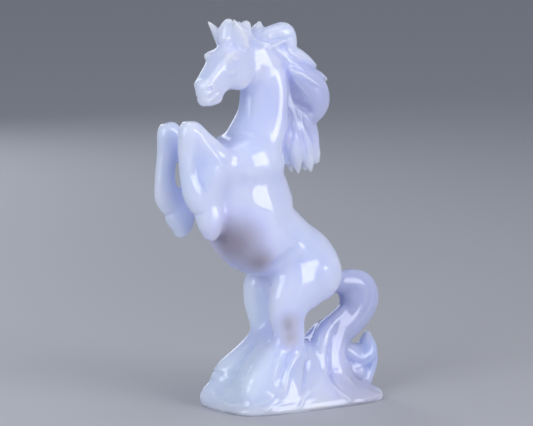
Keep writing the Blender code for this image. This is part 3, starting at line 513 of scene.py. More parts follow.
def soften(body, rounds, crests, hollows=1.0):
    """Smooths the skin in rounds, with one strength for what stands out and one for what lies in."""
    mesh = body.data
    places = vertex_values(mesh.vertices, "co")
    ends = np.empty(2 * len(mesh.edges), np.int32)
    mesh.edges.foreach_get("vertices", ends)
    ends = ends.reshape(-1, 2)
    here, there = np.concatenate([ends, ends[:, ::-1]]).T
    count = np.bincount(here, minlength=len(places))[:, None]
    for turn in range(rounds):
        if turn % ROUNDS_PER_NORMAL == 0:
            mesh.vertices.foreach_set("co", places.ravel())
            mesh.update()
            outward = vertex_values(mesh.vertices, "normal")
        mean = np.stack([np.bincount(here, places[there, k], len(places)) for k in range(3)], 1) / count
        step = mean - places
        lift = (step * outward).sum(1, keepdims=True)
        weight = np.where(lift > 0, hollows, crests)
        places += SOFTENING_STEP * (step + (weight - 1) * lift * outward)
    mesh.vertices.foreach_set("co", places.ravel())
    mesh.update()


def melting(body):
    """How strongly each place is smoothed once more, where the hind feet melt into the rock."""
    levels = vertex_values(body.data.vertices, "co")[:, 2:]
    return np.interp(levels, (MELTED_BELOW, FIRM_ABOVE), (MOST_MELTING, 0))


class Chisel:
    """Moves a body's skin in or out along strokes, which are first laid onto the skin."""

    def __init__(self, body):
        self.mesh = body.data
        self.places = vertex_values(self.mesh.vertices, "co")
        self.outward = vertex_values(self.mesh.vertices, "normal")

    def within(self, path, reach):
        """The numbers of the vertices in the path's box and a margin round it."""
        return np.flatnonzero(
            ((self.places > path.min(0) - reach) & (self.places < path.max(0) + reach)).all(1)
        )

    def on_skin(self, path):
        """The path, moved to the skin nearest to it."""
        chosen = self.within(path, STROKE_REACH)
        if not len(chosen):
            return path
        nearest = [chosen[((self.places[chosen] - point) ** 2).sum(1).argmin()] for point in path]
        path = self.places[nearest]
        path[1:-1] = (path[:-2] + path[1:-1] + path[2:]) / 3
        return path

    def stroke(self, points, radius, depth, place=AS_DRAWN, fade=0.25, sharp=False):
        """A groove of a depth that fades at both ends, or a ridge where the depth is below zero."""
        path = self.on_skin(smooth_through([place @ Vector(p) for p in points], STROKE_STEPS))
        chosen = self.within(path, radius)
        if not len(chosen):
            return
        gaps = np.linalg.norm(self.places[chosen, None] - path[None], axis=2)
        near = np.clip(1 - gaps.min(1) / radius, 0, 1)
        reach = near**SHARPNESS if sharp else (near * (2 - near)) ** 2
        along = gaps.argmin(1) / (len(path) - 1)
        ends = np.clip(np.minimum(along, 1 - along) / fade + DEPTH_AT_END, 0, 1) if fade else 1
        self.places[chosen] -= self.outward[chosen] * (depth * reach * ends)[:, None]

    def finish(self):
        self.mesh.vertices.foreach_set("co", self.places.ravel())
        self.mesh.update()


# Edges that are drawn first and sharpened later: the curl's lower lip and the ridge on the round lock.
CURL_LIP = [(-17.4, 4.5, 140.8), (-14.9, 5, 139), (-13.2, 5, 138.4), (-11.1, 5, 138.9), (-6.9, 4.5, 139.9)]
LOCK_RIDGE = [(-6.5, 4.5, 130), (-3.7, 4.9, 128.7), (-0.3, 5.8, 127.1), (3.4, 6.2, 124.9), (7.4, 6, 122.4)]


def carve_head(chisel):
    """Nostrils, mouth, the line of the jaw and the hollow below the eye."""
    for side in BOTH_SIDES:
        place = head_place() @ side
        nostril = [(-26, 2.2, -13.4), (-25.2, 3.2, -12.8)]
        chisel.stroke(nostril, 1.1, 0.4, place, fade=0)
        mouth = [(-26.5, 1.2, -17.2), (-24, 3.6, -16.4), (-21, 4.2, -15.4)]
        chisel.stroke(mouth, 1.0, 0.45, place)
        jaw = [(-5, 6.2, -3), (-2.4, 6, -7), (-3.6, 5.6, -12), (-8, 5, -14.6)]
        chisel.stroke(jaw, 1.8, 0.15, place)
        below_eye = [(-11.5, 5.4, -4.6), (-14.5, 6, -5.8), (-18, 4.4, -7)]
        chisel.stroke(below_eye, 1.6, 0.15, place)
        below_crest = [(-17.2, 4.4, -9.4), (-12.5, 5.6, -9.6)]
        chisel.stroke(below_crest, 1.6, 0.35, place)


def carve_hair(chisel):
    """The folds of the mane, and of the tail and its hook."""
    for side in BOTH_SIDES:
        hollow = [(-14, 4.4, 142.2), (-11.4, 4.8, 141.8), (-8, 4.8, 142.4)]
        chisel.stroke(hollow, 2.8, 1.0, side, fade=0.5)
        below_curl = [
            (-16.5, 4, 141.3), (-14.2, 4.5, 140.4), (-11.7, 4.5, 140.3), (-8.7, 4.5, 140.9),
            (-4.6, 4, 141.8),
        ]
        chisel.stroke(below_curl, 1.4, 0.9, side, sharp=True)
        chisel.stroke(CURL_LIP, 1.4, -0.5, side, sharp=True)
        root = [
            (-12, 6, 137.4), (-8, 6, 133.6), (-6.4, 6, 129), (-5.2, 6.2, 121), (-5.2, 6.6, 113.6),
            (-5.6, 7, 106), (-6, 7.4, 98.6),
        ]
        chisel.stroke(root, 1.7, 0.8, side)
        before_round = [(-5.4, 5, 128), (-3.8, 5.4, 122), (-1.4, 5.6, 117), (4.4, 4.6, 112.6)]
        chisel.stroke(before_round, 2.2, 1.7, side)
        below_upper = [(-2, 4.6, 132.6), (3, 3.6, 131), (7, 2.4, 129)]
        chisel.stroke(below_upper, 1.2, 0.4, side)
        chisel.stroke(LOCK_RIDGE, 1.4, -0.9, side, sharp=True)
        strand = [(29, 4.6, 43), (30.6, 5, 38), (27, 5.4, 32.4), (22.4, 6, 28)]
        chisel.stroke(strand, 1.3, 0.25, side)
        between_locks = [
            (12.6, 6.6, 27), (10.4, 7, 20.8), (9.8, 7.8, 13.6), (10.4, 10.6, 8.2), (12.4, 14.6, 4.6),
        ]
        chisel.stroke(between_locks, 1.9, 0.9, side)
        # The rims of the hook and the shallow bowl of its face.
        bowl = [(25.4, 4.4, 18), (28.4, 4, 18.2), (30.8, 3, 20.2), (32.2, 2, 22.4)]
        chisel.stroke(bowl, 3.4, 0.4, side)
        outer_rim = [
            (17.4, 6.4, 19), (20, 5.1, 14.7), (24.6, 5, 12.4), (29.6, 5, 12.9), (32.4, 5, 15.2),
            (34.4, 3, 19),
        ]
        chisel.stroke(outer_rim, 1.4, -0.3, side)
        inner_rim = [(22.6, 4.6, 18.4), (25.1, 4.8, 15.7), (27.7, 5.1, 15.1), (30.4, 5, 17.2)]
        chisel.stroke(inner_rim, 1.4, -0.2, side)


def carve_body(chisel, sizes):
    """The edges of the fore legs, the bands above their hooves, and the hollows of the body."""
    leg = 0.5 * sizes.fore_leg_spacing / sizes.share()
    for y, front, level in ((-leg, -47.6, 78), (leg, -52, 76.2)):
        band = [
            (front + 3, y - 3.6, level + 1), (front + 0.6, y - 1.6, level), (front + 0.6, y + 1.6, level),
            (front + 3, y + 3.6, level + 1),
        ]
        chisel.stroke(band, 1.1, 0.45)
    for side in BOTH_SIDES:
        crease = [(-38.9, 12.6, 101.8), (-35.7, 9.6, 102.7), (-30.5, 6, 103), (-27, 8, 103.6)]
        chisel.stroke(crease, 2.0, 0.2, side)
        forearm_edge = [
            (-51.5, leg + 3, 110.1), (-47.7, leg + 3.7, 108.9), (-45.3, leg + 4.5, 105.1),
            (-42.4, leg + 5.4, 101.3), (-39.5, leg + 6, 97.9), (-38.2, leg + 6.2, 94.6),
        ]
        chisel.stroke(forearm_edge, 1.6, -0.5, side, sharp=True)
        behind_cannon = [
            (-49.7, leg + 3.4, 102.3), (-48.5, leg + 2.6, 96.5), (-47.2, leg + 2.4, 91.6),
            (-44.9, leg + 2.8, 88.1), (-42.4, leg + 2.9, 85.7),
        ]
        chisel.stroke(behind_cannon, 1.6, 0.3, side)
        cannon_edge = [
            (-52, leg + 3, 100.5), (-51.2, leg + 2.8, 94.1), (-49.7, leg + 3, 89.6),
            (-47.2, leg + 3.5, 84.6),
        ]
        chisel.stroke(cannon_edge, 1.2, -0.35, side, sharp=True)
        behind_elbow = [(-34, 13, 91), (-28, 15, 88), (-20, 15, 89)]
        chisel.stroke(behind_elbow, 4.4, 0.4, side, fade=0.5)
        loin = [(-20, 12, 53), (-13, 15, 57.6), (-6, 15, 64)]
        chisel.stroke(loin, 3.2, 0.6, side)
        shin = [(-12.6, 13.4, 39), (-11, 12.8, 32.2), (-8.4, 12.4, 27)]
        chisel.stroke(shin, 3.4, 0.9, side, fade=0.5)


def carve_rock(chisel):
    """Leaves of stone at the hind feet, crisp at the front, and folds over the base's rim."""
    for side in BOTH_SIDES:
        leaf = [
            (-3.6, 12.3, 22), (-5.6, 13.1, 21.3), (-8.2, 13.9, 19.8), (-11.3, 14.9, 15.6), (-13.3, 16, 9.9),
            (-14.5, 15.9, 6.5),
        ]
        chisel.stroke(leaf, 1.8, -0.9, side, sharp=True)
        before_leaf = [(-7.6, 13.2, 23.6), (-11, 13.8, 20), (-14, 14.6, 15), (-16, 15.4, 9.8)]
        chisel.stroke(before_leaf, 1.8, 0.6, side)
        behind_leaf = [(-0.5, 9, 18.6), (-1.7, 10.2, 15.6), (-4.4, 13.4, 9.9), (-6, 15.6, 5.9)]
        chisel.stroke(behind_leaf, 2.0, 0.8, side)
        blade = [(-13, 12.4, 24), (-14, 12.8, 21.8), (-16.2, 13.5, 17.4), (-17.8, 13.8, 13)]
        chisel.stroke(blade, 1.5, -0.6, side, sharp=True)
        fold = [(-23.2, 16, 1.6), (-20.5, 16.6, 3.1), (-16.2, 16.6, 3.9), (-8.7, 16.5, 4.1)]
        chisel.stroke(fold, 1.5, -0.5, side, sharp=True)
        fold = [(9, 11.7, 8.3), (11.4, 15.2, 5.2), (14.6, 17.3, 2.3)]
        chisel.stroke(fold, 1.5, -0.4, side, sharp=True)
    # The hollow that sets the far foot off from the rock.
    beside_foot = [(-13.4, 3.2, 25), (-17.6, 3.2, 19.4), (-22.4, 3.4, 14.6), (-26.2, 3.6, 10.6)]
    chisel.stroke(beside_foot, 2.6, 0.8)
    # The gap between the far hoof and the stone in front of it.
    before_hoof = [(-28, 13.6, 12), (-29.4, 11, 12.6), (-29, 8, 13), (-28, 5.6, 12.3)]
    chisel.stroke(before_hoof, 1.3, 0.8)


def refine_head(chisel):
    """Eyes with their lids, the facial crest, nostrils, lips and the line of the jaw."""
    for side in BOTH_SIDES:
        place = head_place() @ side
        eye = [(-11.4, 6.2, -3.4), (-12.9, 6.4, -3), (-14.6, 6.2, -3.8)]
        chisel.stroke(eye, 0.9, -0.35, place, fade=0)
        upper_lid = [(-10.4, 6.2, -3.6), (-11.6, 6.6, -2.4), (-13.6, 6.6, -2.1), (-15.6, 5.8, -3.4)]
        chisel.stroke(upper_lid, 0.7, 0.4, place, sharp=True)
        lower_lid = [(-10.6, 6.2, -4), (-12.6, 6.4, -4.8), (-14.8, 6, -4.8)]
        chisel.stroke(lower_lid, 0.7, 0.3, place, sharp=True)
        crest = [(-19.4, 4.2, -6.8), (-16.6, 5, -8.4), (-13.2, 6, -9)]
        chisel.stroke(crest, 1.2, -0.6, place, sharp=True)
        nostril = [(-26.2, 2.4, -14.2), (-25.4, 3.2, -13.4), (-24.6, 3.4, -13.8)]
        chisel.stroke(nostril, 0.9, 0.7, place, fade=0)
        rim = [(-26.4, 2.6, -12.8), (-25, 3.4, -12), (-23.6, 3.6, -13)]
        chisel.stroke(rim, 0.9, -0.5, place)
        lips = [(-26.8, 0.8, -17), (-25, 3, -16.7), (-22.6, 4, -15.8), (-20.8, 4.2, -15)]
        chisel.stroke(lips, 0.7, 0.6, place, sharp=True)
        jaw = [(-2.6, 6, -8.4), (-4.4, 5.8, -12.4), (-8.4, 5, -14.2), (-12, 4.4, -14)]
        chisel.stroke(jaw, 1.4, -0.15, place)


def refine_hair(chisel):
    """Strands and grooves of the mane, the curl's lip and the edges in the forelock."""
    for side in BOTH_SIDES:
        strands = [
            [(-0.3, 3.5, 116.1), (-0.5, 5, 110.8), (-0.1, 6.3, 106.2), (2, 6.1, 103.3), (6.8, 3.8, 97.3)],
            [(-3.6, 6, 107.1), (-2.8, 6.3, 102.3), (-0.8, 6, 99.3), (0.8, 4.8, 95.2)],
        ]
        for strand in strands:
            chisel.stroke(strand, 1.1, -0.4, side, sharp=True)
        for crest in (LOCK_RIDGE, CURL_LIP):
            chisel.stroke(crest, 1.0, -0.5, side, sharp=True)
        fine_strands = [
            [(-13.3, 3.6, 140.7), (-9.6, 4.1, 140.2), (-5.3, 5, 141.1)],
            [(-7.8, 3.7, 138), (-1.7, 4.3, 133.9), (5.7, 2.1, 129.7)],
            [(-10.5, 4.3, 136.7), (-3.3, 4.3, 131.5), (2.6, 5.3, 127.8)],
            [(-4.9, 4, 127.4), (-1.2, 5, 122.8), (3.6, 5.8, 117.3)],
        ]
        for strand in fine_strands:
            chisel.stroke(strand, 1.0, -0.4, side, sharp=True)
        grooves = [
            [(-4.6, 6.1, 105.4), (-5.8, 5.5, 99), (-5.3, 3.2, 93.9)],
            [(-1.5, 6.4, 106.2), (-0.4, 6.4, 102.4), (1.3, 6, 98.4), (2.1, 4.5, 94)],
        ]
        for groove in grooves:
            chisel.stroke(groove, 0.9, 0.45, side, sharp=True)
    forelock = [
        [
            (-31.8, -10, 149.3), (-25.5, -5.7, 145.5), (-20.4, -3.6, 142), (-17.2, -4.9, 139.9),
            (-12.8, -4.8, 138.5),
        ],
        [(-35.5, -3.8, 142.3), (-34.3, -7.4, 142.7), (-32.5, -7.8, 141.9)],
        [(-28, -8.8, 139.6), (-25.8, -9.1, 139.6), (-22.1, -5.9, 138.6)],
        [(-36.6, -9.1, 136.1), (-34.8, -10.6, 137.3), (-31.8, -10.3, 137.3), (-28.6, -9, 136.3)],
    ]
    for strand in forelock:
        chisel.stroke(strand, 1.0, -0.45, sharp=True)


def refine_rock(chisel):
    """Crisp crests on the leaves of stone at the feet, a knoll before them and folds over the rim."""
    for side in BOTH_SIDES:
        crest = [(-5.6, 13.1, 21.4), (-8.2, 13.9, 19.8), (-11.3, 14.9, 15.6), (-13.3, 16, 9.9)]
        chisel.stroke(crest, 1.0, -0.3, side, sharp=True)
        blade = [(-14, 12.8, 21.8), (-16.2, 13.5, 17.4), (-17.4, 13.8, 14)]
        chisel.stroke(blade, 0.9, -0.2, side, sharp=True)
        knoll = [(-27.8, 10.2, 9.4), (-26.4, 11.6, 8.4)]
        chisel.stroke(knoll, 3.6, -0.6, side, fade=0)
        folds = [
            [(-31.7, -0.4, 4.7), (-32, 1.8, 3.5), (-31.7, 4.6, 3.1), (-30.5, 7.4, 3.5), (-28.9, 10.3, 4.3)],
            [(-22.2, 13.5, 8.6), (-20.2, 14.2, 7.8), (-19, 14.8, 6.8), (-21, 14.6, 5.4), (-25.5, 14, 3.5)],
            [(-16.7, 15.5, 6.2), (-20.1, 15.9, 3.7), (-22, 16.5, 1.7)],
            [(3, 13.7, 8), (-2.9, 15.3, 6.6), (-5.6, 16.1, 5.1), (-7.2, 17, 3), (-9.2, 17.4, 2)],
            [(9.3, 14.1, 6.9), (11.5, 16.1, 4.6), (13.2, 17, 3.2), (15.2, 17.5, 1.5)],
        ]
        for fold in folds:
            chisel.stroke(fold, 1.3, -0.5, side, sharp=True)


def make_uneven(body, lift):
    """The slight waves that hand polishing leaves, by a lift in shares."""
    places = vertex_values(body.data.vertices, "co")
    outward = vertex_values(body.data.vertices, "normal")
    for frequency, strength in WAVES:
        heights = np.array([noise.noise(Vector(place) * frequency) for place in places])
        places += outward * (lift * strength * heights)[:, None]
    body.data.vertices.foreach_set("co", places.ravel())
    body.data.update()


def thin_out(body, most):
    """Brings the facets down to a number, keeping more where the skin bends more."""
    body.data.calc_loop_triangles()
    decimate = body.modifiers.new("thin", "DECIMATE")
    decimate.ratio = most / len(body.data.loop_triangles)
    apply_modifiers(body)


def cut_flat(body):
    """Saws the underside flat at the floor."""
    bm = bmesh.new()
    bm.from_mesh(body.data)
    bmesh.ops.bisect_plane(
        bm, geom=bm.verts[:] + bm.edges[:] + bm.faces[:], plane_no=(0, 0, 1), clear_inner=True
    )
    bmesh.ops.holes_fill(bm, edges=[edge for edge in bm.edges if edge.is_boundary])
    bm.to_mesh(body.data)
    bm.free()


def mould_flesh(sizes):
    """Trunk, legs, head, tail and rock in one soft skin, in shares."""
    bm = bmesh.new()
    add_trunk(bm)
    add_near_fore_leg(bm, sizes)
    add_far_fore_leg(bm, sizes)
    for add in (add_near_hind_leg, add_far_hind_leg, add_head, add_tail, add_rock):
        add(bm)
    add_base(bm, sizes)
    bmesh.ops.recalc_face_normals(bm, faces=bm.faces)
    flesh = body_of(bm, "flesh")
    fuse(flesh, ROUGH_CUBE)
    soften(flesh, rounds=24, crests=0.12)
    melt = melting(flesh)
    soften(flesh, rounds=30, crests=melt, hollows=melt)
    return flesh


def carve(sizes):
    """The whole statue in shares, as one body of fine facets."""
    flesh = mould_flesh(sizes)
    bm = bmesh.new()
    for add in (add_ears, add_forelock, add_mane, add_tail, add_tail_hook):
        add(bm)
    add_base(bm, sizes)
    bmesh.ops.recalc_face_normals(bm, faces=bm.faces)
    bm.from_mesh(flesh.data)
    bpy.data.objects.remove(flesh)
    horse = body_of(bm, "carved_horse")
    fuse(horse, sizes.fine_cube / sizes.share())
    soften(horse, rounds=8, crests=0.3)
    chisel = Chisel(horse)
    carve_head(chisel)
    carve_hair(chisel)
    carve_body(chisel, sizes)
    carve_rock(chisel)
    chisel.finish()
    soften(horse, rounds=4, crests=0.4, hollows=0.4)
    chisel = Chisel(horse)
    refine_head(chisel)
    refine_hair(chisel)
    refine_rock(chisel)
    chisel.finish()
    soften(horse, rounds=1, crests=0.4, hollows=0.4)
    make_uneven(horse, sizes.unevenness / sizes.share())
    return horse


# The clouds in the stone: size in metres, fineness, and the noise at which they start and are full.
CLOUD_SIZE = 0.022
CLOUD_DETAIL = 2.0
CLEAR_BELOW = 0.35
CLOUDED_ABOVE = 0.65

# How far red, green and blue light spread below the skin, in shares of the glow's depth, and how much
# of it goes on forward.
GLOW_COLOUR = (0.9, 0.95, 1.0)
GLOW_FORWARD = 0.4

# Painted light and shade in the stone's colour: a name, the centre, the inner and outer distances, all in
# shares, and the colour in the settings.
PAINTED_LIGHT_AND_SHADE = (
    # Painted shade under the belly, with the greyish brown of light shining through the stone.
    ("belly", (-31.5, -9, 65.6), 1, 17, "belly_painted_shade_colour"),
    ("loin", (-22, -10, 58), 0, 10, "belly_painted_shade_colour"),
    # Painted shade in the hollow over the near hock, brownish.
    ("hock", (-10, -12.5, 34), 0, 7.5, "hock_painted_shade_colour"),
    ("heel", (-9.4, -12.5, 28), 0, 7, "hock_painted_shade_colour"),
    # Painted shade that darkens the mane and tail.
    ("mane", (3, 0, 116), 6, 22, "hair_painted_shade_colour"),
    ("tail", (26, 0, 34), 12, 24, "hair_painted_shade_colour"),
    # Painted shade on the base behind the feet, as where no light comes up from the floor.
    ("rim", (22, -12, 2), 4, 22, "base_painted_shade_colour"),
    # Painted light on the far hind foot, its shank and the rock about them.
    ("foot", (-24, -2, 12), 4, 20, "foot_painted_light_colour"),
    ("shank", (-12, 8, 38), 2, 14, "foot_painted_light_colour"),
    # Painted bluish tone of light scattered in the thin stone of the hook.
    ("hook", (32, -2, 14), 2, 13, "thin_stone_painted_scatter_colour"),
)


def colour_node(tree, kind, name, **values):
    """A node with its values set, found again by its name."""
    node = tree.nodes.new(kind)
    node.name = name
    for key, value in values.items():
        setattr(node, key, value)
    return node


def patch(tree, place, name, centre, inner, outer):
    """How near the surface lies to a point: 1 inside the inner distance, 0 past the outer one."""
    distance = colour_node(tree, "ShaderNodeVectorMath", name + " distance", operation="DISTANCE")
    distance.inputs[1].default_value = centre
    tree.links.new(place, distance.inputs[0])
    fade = colour_node(tree, "ShaderNodeMapRange", name + " fade", interpolation_type="SMOOTHSTEP")
    fade.inputs["From Min"].default_value = outer
    fade.inputs["From Max"].default_value = inner
    tree.links.new(distance.outputs["Value"], fade.inputs["Value"])
    return fade.outputs["Result"]


def blend_colours(tree, name, factor, under, over):
    """Lays a colour over another one by a factor."""
    mix = colour_node(tree, "ShaderNodeMix", name, data_type="RGBA")
    tree.links.new(factor, mix.inputs["Factor"])
    for socket, colour in (("A", under), ("B", over)):
        target = next(s for s in mix.inputs if s.name == socket and s.type == "RGBA")
        if isinstance(colour, bpy.types.NodeSocket):
            tree.links.new(colour, target)
        else:
            target.default_value = (*colour, 1)
    return next(s for s in mix.outputs if s.type == "RGBA")


def clouds(tree, place):
    """Soft clouds in the stone, from 0 where it is clear to 1 in the middle of a cloud."""
    cloud = colour_node(tree, "ShaderNodeTexNoise", "clouds")
    cloud.inputs["Scale"].default_value = 1 / CLOUD_SIZE
    cloud.inputs["Detail"].default_value = CLOUD_DETAIL
    tree.links.new(place, cloud.inputs["Vector"])
    spread = colour_node(tree, "ShaderNodeMapRange", "clouds spread", interpolation_type="SMOOTHSTEP")
    spread.inputs["From Min"].default_value = CLEAR_BELOW
    spread.inputs["From Max"].default_value = CLOUDED_ABOVE
    tree.links.new(cloud.outputs["Fac"], spread.inputs["Value"])
    return spread.outputs["Result"]


def pale_stone(look, share):
    """Polished translucent stone, clouded, with painted shade under the belly, over the near hock, on the
    hair and behind the feet, painted light on the far foot and a painted bluish tone of scattered light in
    the hook.
    """
    material = bpy.data.materials.new("pale_stone")
    material.use_nodes = True
    tree = material.node_tree
    shader = tree.nodes["Principled BSDF"]
    shader.inputs["Roughness"].default_value = look.roughness
    shader.inputs["IOR"].default_value = look.ior
    shader.inputs["Subsurface Weight"].default_value = look.translucency
    shader.inputs["Subsurface Scale"].default_value = look.glow_depth
    shader.inputs["Subsurface Radius"].default_value = GLOW_COLOUR
    shader.inputs["Subsurface Anisotropy"].default_value = GLOW_FORWARD

    place = tree.nodes.new("ShaderNodeTexCoord").outputs["Object"]
    colour = blend_colours(tree, "clouding", clouds(tree, place), look.colour, look.cloud_colour)
    for name, centre, inner, outer, over in PAINTED_LIGHT_AND_SHADE:
        painted_spot = patch(tree, place, name, Vector(centre) * share, inner * share, outer * share)
        colour = blend_colours(tree, name, painted_spot, colour, getattr(look, over))
    tree.links.new(colour, shader.inputs["Base Color"])
    return material


# The picture: its width and height in pixels, the pixel where the origin lies, from the upper left corner,
# and how many metres a pixel shows at the statue.
PICTURE_PIXELS = (533, 426)
ORIGIN_PIXEL = (295.5, 401.2)
PIXEL_SIZE = 0.000386

# What the settings of one kind have alike.
COLOUR = {"subtype": "COLOR", "min": 0, "max": 1}
FACTOR = {"subtype": "FACTOR", "min": 0, "max": 1}
LENGTH = {"unit": "LENGTH", "precision": 5}
POWER = {"unit": "POWER", "min": 0}


class StoneHorseSizes(bpy.types.PropertyGroup):
    """Sizes of the statue and the fineness of its carving."""

    height: bpy.props.FloatProperty(
        name="Height", description="From the underside of the base to the top of the head",
        default=HIGHEST.z - LOWEST.z, min=0.02, **LENGTH,
    )
    base_length: bpy.props.FloatProperty(
        name="Base length", description="Of the slab that the horse stands on", default=0.068, min=0.01,
        **LENGTH,
    )
    base_width: bpy.props.FloatProperty(
        name="Base width", description="Across the slab", default=HIGHEST.y - LOWEST.y, min=0.01, **LENGTH,
    )
    base_rim: bpy.props.FloatProperty(
        name="Base rim", description="Height of the slab's outer edge", default=0.0024, min=0.0005,
        **LENGTH,
    )
    fore_leg_spacing: bpy.props.FloatProperty(
        name="Fore leg spacing", description="Between the middles of the fore legs", default=0.015,
        min=0.005, **LENGTH,
    )
    fine_cube: bpy.props.FloatProperty(
        name="Fineness", description="Edge of the cubes that the carving is worked out in", default=0.0004,
        min=0.0002, **LENGTH,
    )
    most_triangles: bpy.props.IntProperty(
        name="Most triangles", description="How many facets the finished skin may have", default=190000,
        min=1000,
    )
    unevenness: bpy.props.FloatProperty(
        name="Unevenness", description="How far the hand-polished skin waves in and out", default=0.00012,
        min=0, **LENGTH,
    )

    def share(self):
        """One share of the height, in metres."""
        return self.height / WHOLE


class StoneHorseLook(bpy.types.PropertyGroup):
    """Colours and polish of the stone, and the colours of its painted shade and light."""

    colour: bpy.props.FloatVectorProperty(
        name="Stone", description="The stone's main colour", default=(0.62, 0.67, 0.93), **COLOUR,
    )
    cloud_colour: bpy.props.FloatVectorProperty(
        name="Clouds", description="Paler clouds in the stone", default=(0.68, 0.71, 0.93), **COLOUR,
    )
    # Painted shade under the belly, with the greyish brown of light shining through the stone.
    belly_painted_shade_colour: bpy.props.FloatVectorProperty(
        name="Belly", description="Greyish brown at the belly", default=(0.38, 0.35, 0.44), **COLOUR,
    )
    # Painted shade that darkens the mane and tail.
    hair_painted_shade_colour: bpy.props.FloatVectorProperty(
        name="Hair", description="Greyer stone of the mane and tail", default=(0.47, 0.5, 0.7), **COLOUR,
    )
    # Painted light on the far hind foot, its shank and the rock about them.
    foot_painted_light_colour: bpy.props.FloatVectorProperty(
        name="Foot", description="Lighter stone at the far foot", default=(0.7, 0.76, 1.0), **COLOUR,
    )
    # Painted shade on the base behind the feet, as where no light comes up from the floor.
    base_painted_shade_colour: bpy.props.FloatVectorProperty(
        name="Base", description="Greyer stone behind the feet", default=(0.52, 0.53, 0.68), **COLOUR,
    )
    # Painted shade in the hollow over the near hock, brownish.
    hock_painted_shade_colour: bpy.props.FloatVectorProperty(
        name="Hock", description="Brown smudge over the near hock", default=(0.54, 0.53, 0.62), **COLOUR,
    )
    # Painted bluish tone of light scattered in the thin stone of the hook.
    thin_stone_painted_scatter_colour: bpy.props.FloatVectorProperty(
        name="Thin stone", description="Bluish where the stone is thin", default=(0.44, 0.5, 0.74),
        **COLOUR,
    )
    roughness: bpy.props.FloatProperty(
        name="Roughness", description="Of the polish", default=0.05, **FACTOR,
    )
    ior: bpy.props.FloatProperty(
        name="Refractive index", description="Of the stone", default=1.54, min=1, max=3,
    )
    translucency: bpy.props.FloatProperty(
        name="Translucency", description="How much of the light comes from below the skin", default=1.0,
        **FACTOR,
    )
    glow_depth: bpy.props.FloatProperty(
        name="Glow depth", description="How far light spreads below the skin", default=0.009, min=0,
        **LENGTH,
    )


class StoneHorseStage(bpy.types.PropertyGroup):
    """Floor, lights and camera."""

    floor_colour: bpy.props.FloatVectorProperty(
        name="Floor", description="The plain floor's colour", default=(0.5, 0.5, 0.52), **COLOUR,
    )
    air_colour: bpy.props.FloatVectorProperty(
        name="Surroundings", description="Colour of the light from all round", default=(0.78, 0.84, 1.0),
        **COLOUR,
    )
    air_strength: bpy.props.FloatProperty(
        name="Surrounding light", description="Strength of the light from all round", default=0.33, min=0,
    )
    key_power: bpy.props.FloatProperty(
        name="Key light", description="From the right of the camera", default=3.5, **POWER,
    )
    fill_power: bpy.props.FloatProperty(
        name="Fill light", description="From the left of the camera", default=3.5, **POWER,
    )
    top_power: bpy.props.FloatProperty(name="Top light", description="From above", default=1.1, **POWER)
    rim_power: bpy.props.FloatProperty(
        name="Rim light", description="From behind the statue", default=1.2, **POWER,
    )
    camera_turn: bpy.props.FloatProperty(
        name="Camera turn", description="From straight at the near side toward the head",
        default=math.radians(-29), subtype="ANGLE",
    )
    camera_rise: bpy.props.FloatProperty(
        name="Camera rise", description="Above the horizon", default=math.radians(9), subtype="ANGLE",
    )
    camera_distance: bpy.props.FloatProperty(
        name="Camera distance", description="From the statue's middle", default=1.0, min=0.2, **LENGTH,
    )
    picture_width: bpy.props.FloatProperty(
        name="Picture width", description="How much the picture shows at the statue",
        default=PICTURE_PIXELS[0] * PIXEL_SIZE, min=0.05, **LENGTH,
    )


class STONEHORSE_OT_carve(bpy.types.Operator):
    """Carves the horse with its base, and polishes it"""

    bl_idname = "stone_horse.carve"
    bl_label = "Carve the Horse"

    def execute(self, context):
        sizes = context.scene.stone_horse_sizes
        horse = carve(sizes)
        thin_out(horse, sizes.most_triangles)
        cut_flat(horse)
        horse.data.transform(Matrix.Scale(sizes.share(), 4))
        horse.data.shade_smooth()
        horse.data.materials.append(pale_stone(context.scene.stone_horse_look, sizes.share()))
        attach(horse, "root")
        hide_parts("horse_carving")
        return {"FINISHED"}


# The floor's radius in metres, and its roughness.
FLOOR_RADIUS = 30.0
FLOOR_ROUGHNESS = 0.6

# Each light's turn from the camera and its rise in degrees, its distance and size in metres, its colour.
LIGHTS = {
    "key": (57, 15, 0.8, (0.42, 0.52), (0.98, 0.98, 1)),
    "fill": (-40, 18, 0.9, (0.5, 0.6), (0.9, 0.94, 1)),
    "top": (0, 80, 0.8, (0.5, 0.5), (1, 1, 1)),
    "rim": (-155, 25, 0.8, (0.25, 0.6), (0.86, 0.92, 1)),
}


def direction(turn, rise):
    """From the statue outward, by a turn from its near side and a rise above the horizon."""
    return Vector((math.sin(turn) * math.cos(rise), -math.cos(turn) * math.cos(rise), math.sin(rise)))


def area_light(name, back, distance, size, colour, power):
    """A soft light that looks at the statue's middle from a direction."""
    middle = (LOWEST + HIGHEST) / 2
    data = bpy.data.lights.new(name, "AREA")
    data.shape = "RECTANGLE"
    data.size, data.size_y = size
    data.energy = power
    data.color = colour
    light = bpy.data.objects.new(name, data)
    facing = back.to_track_quat("Z", "Y").to_matrix().to_4x4()
    light.matrix_world = Matrix.Translation(middle + back * distance) @ facing
    bpy.context.scene.collection.objects.link(light)


def lay_floor(stage):
    """A plain round floor, which stands for no part of the carving."""
    bm = bmesh.new()
    bmesh.ops.create_circle(bm, cap_ends=True, segments=96, radius=FLOOR_RADIUS)
    floor = body_of(bm, "floor")
    paint = bpy.data.materials.new("plain_floor")
    paint.use_nodes = True
    shader = paint.node_tree.nodes["Principled BSDF"]
    shader.inputs["Base Color"].default_value = (*stage.floor_colour, 1)
    shader.inputs["Roughness"].default_value = FLOOR_ROUGHNESS
    floor.data.materials.append(paint)


def light_surroundings(scene, stage):
    """Even light from all round."""
    world = bpy.data.worlds.new("studio")
    world.use_nodes = True
    air = world.node_tree.nodes["Background"]
    air.inputs["Color"].default_value = (*stage.air_colour, 1)
    air.inputs["Strength"].default_value = stage.air_strength
    scene.world = world


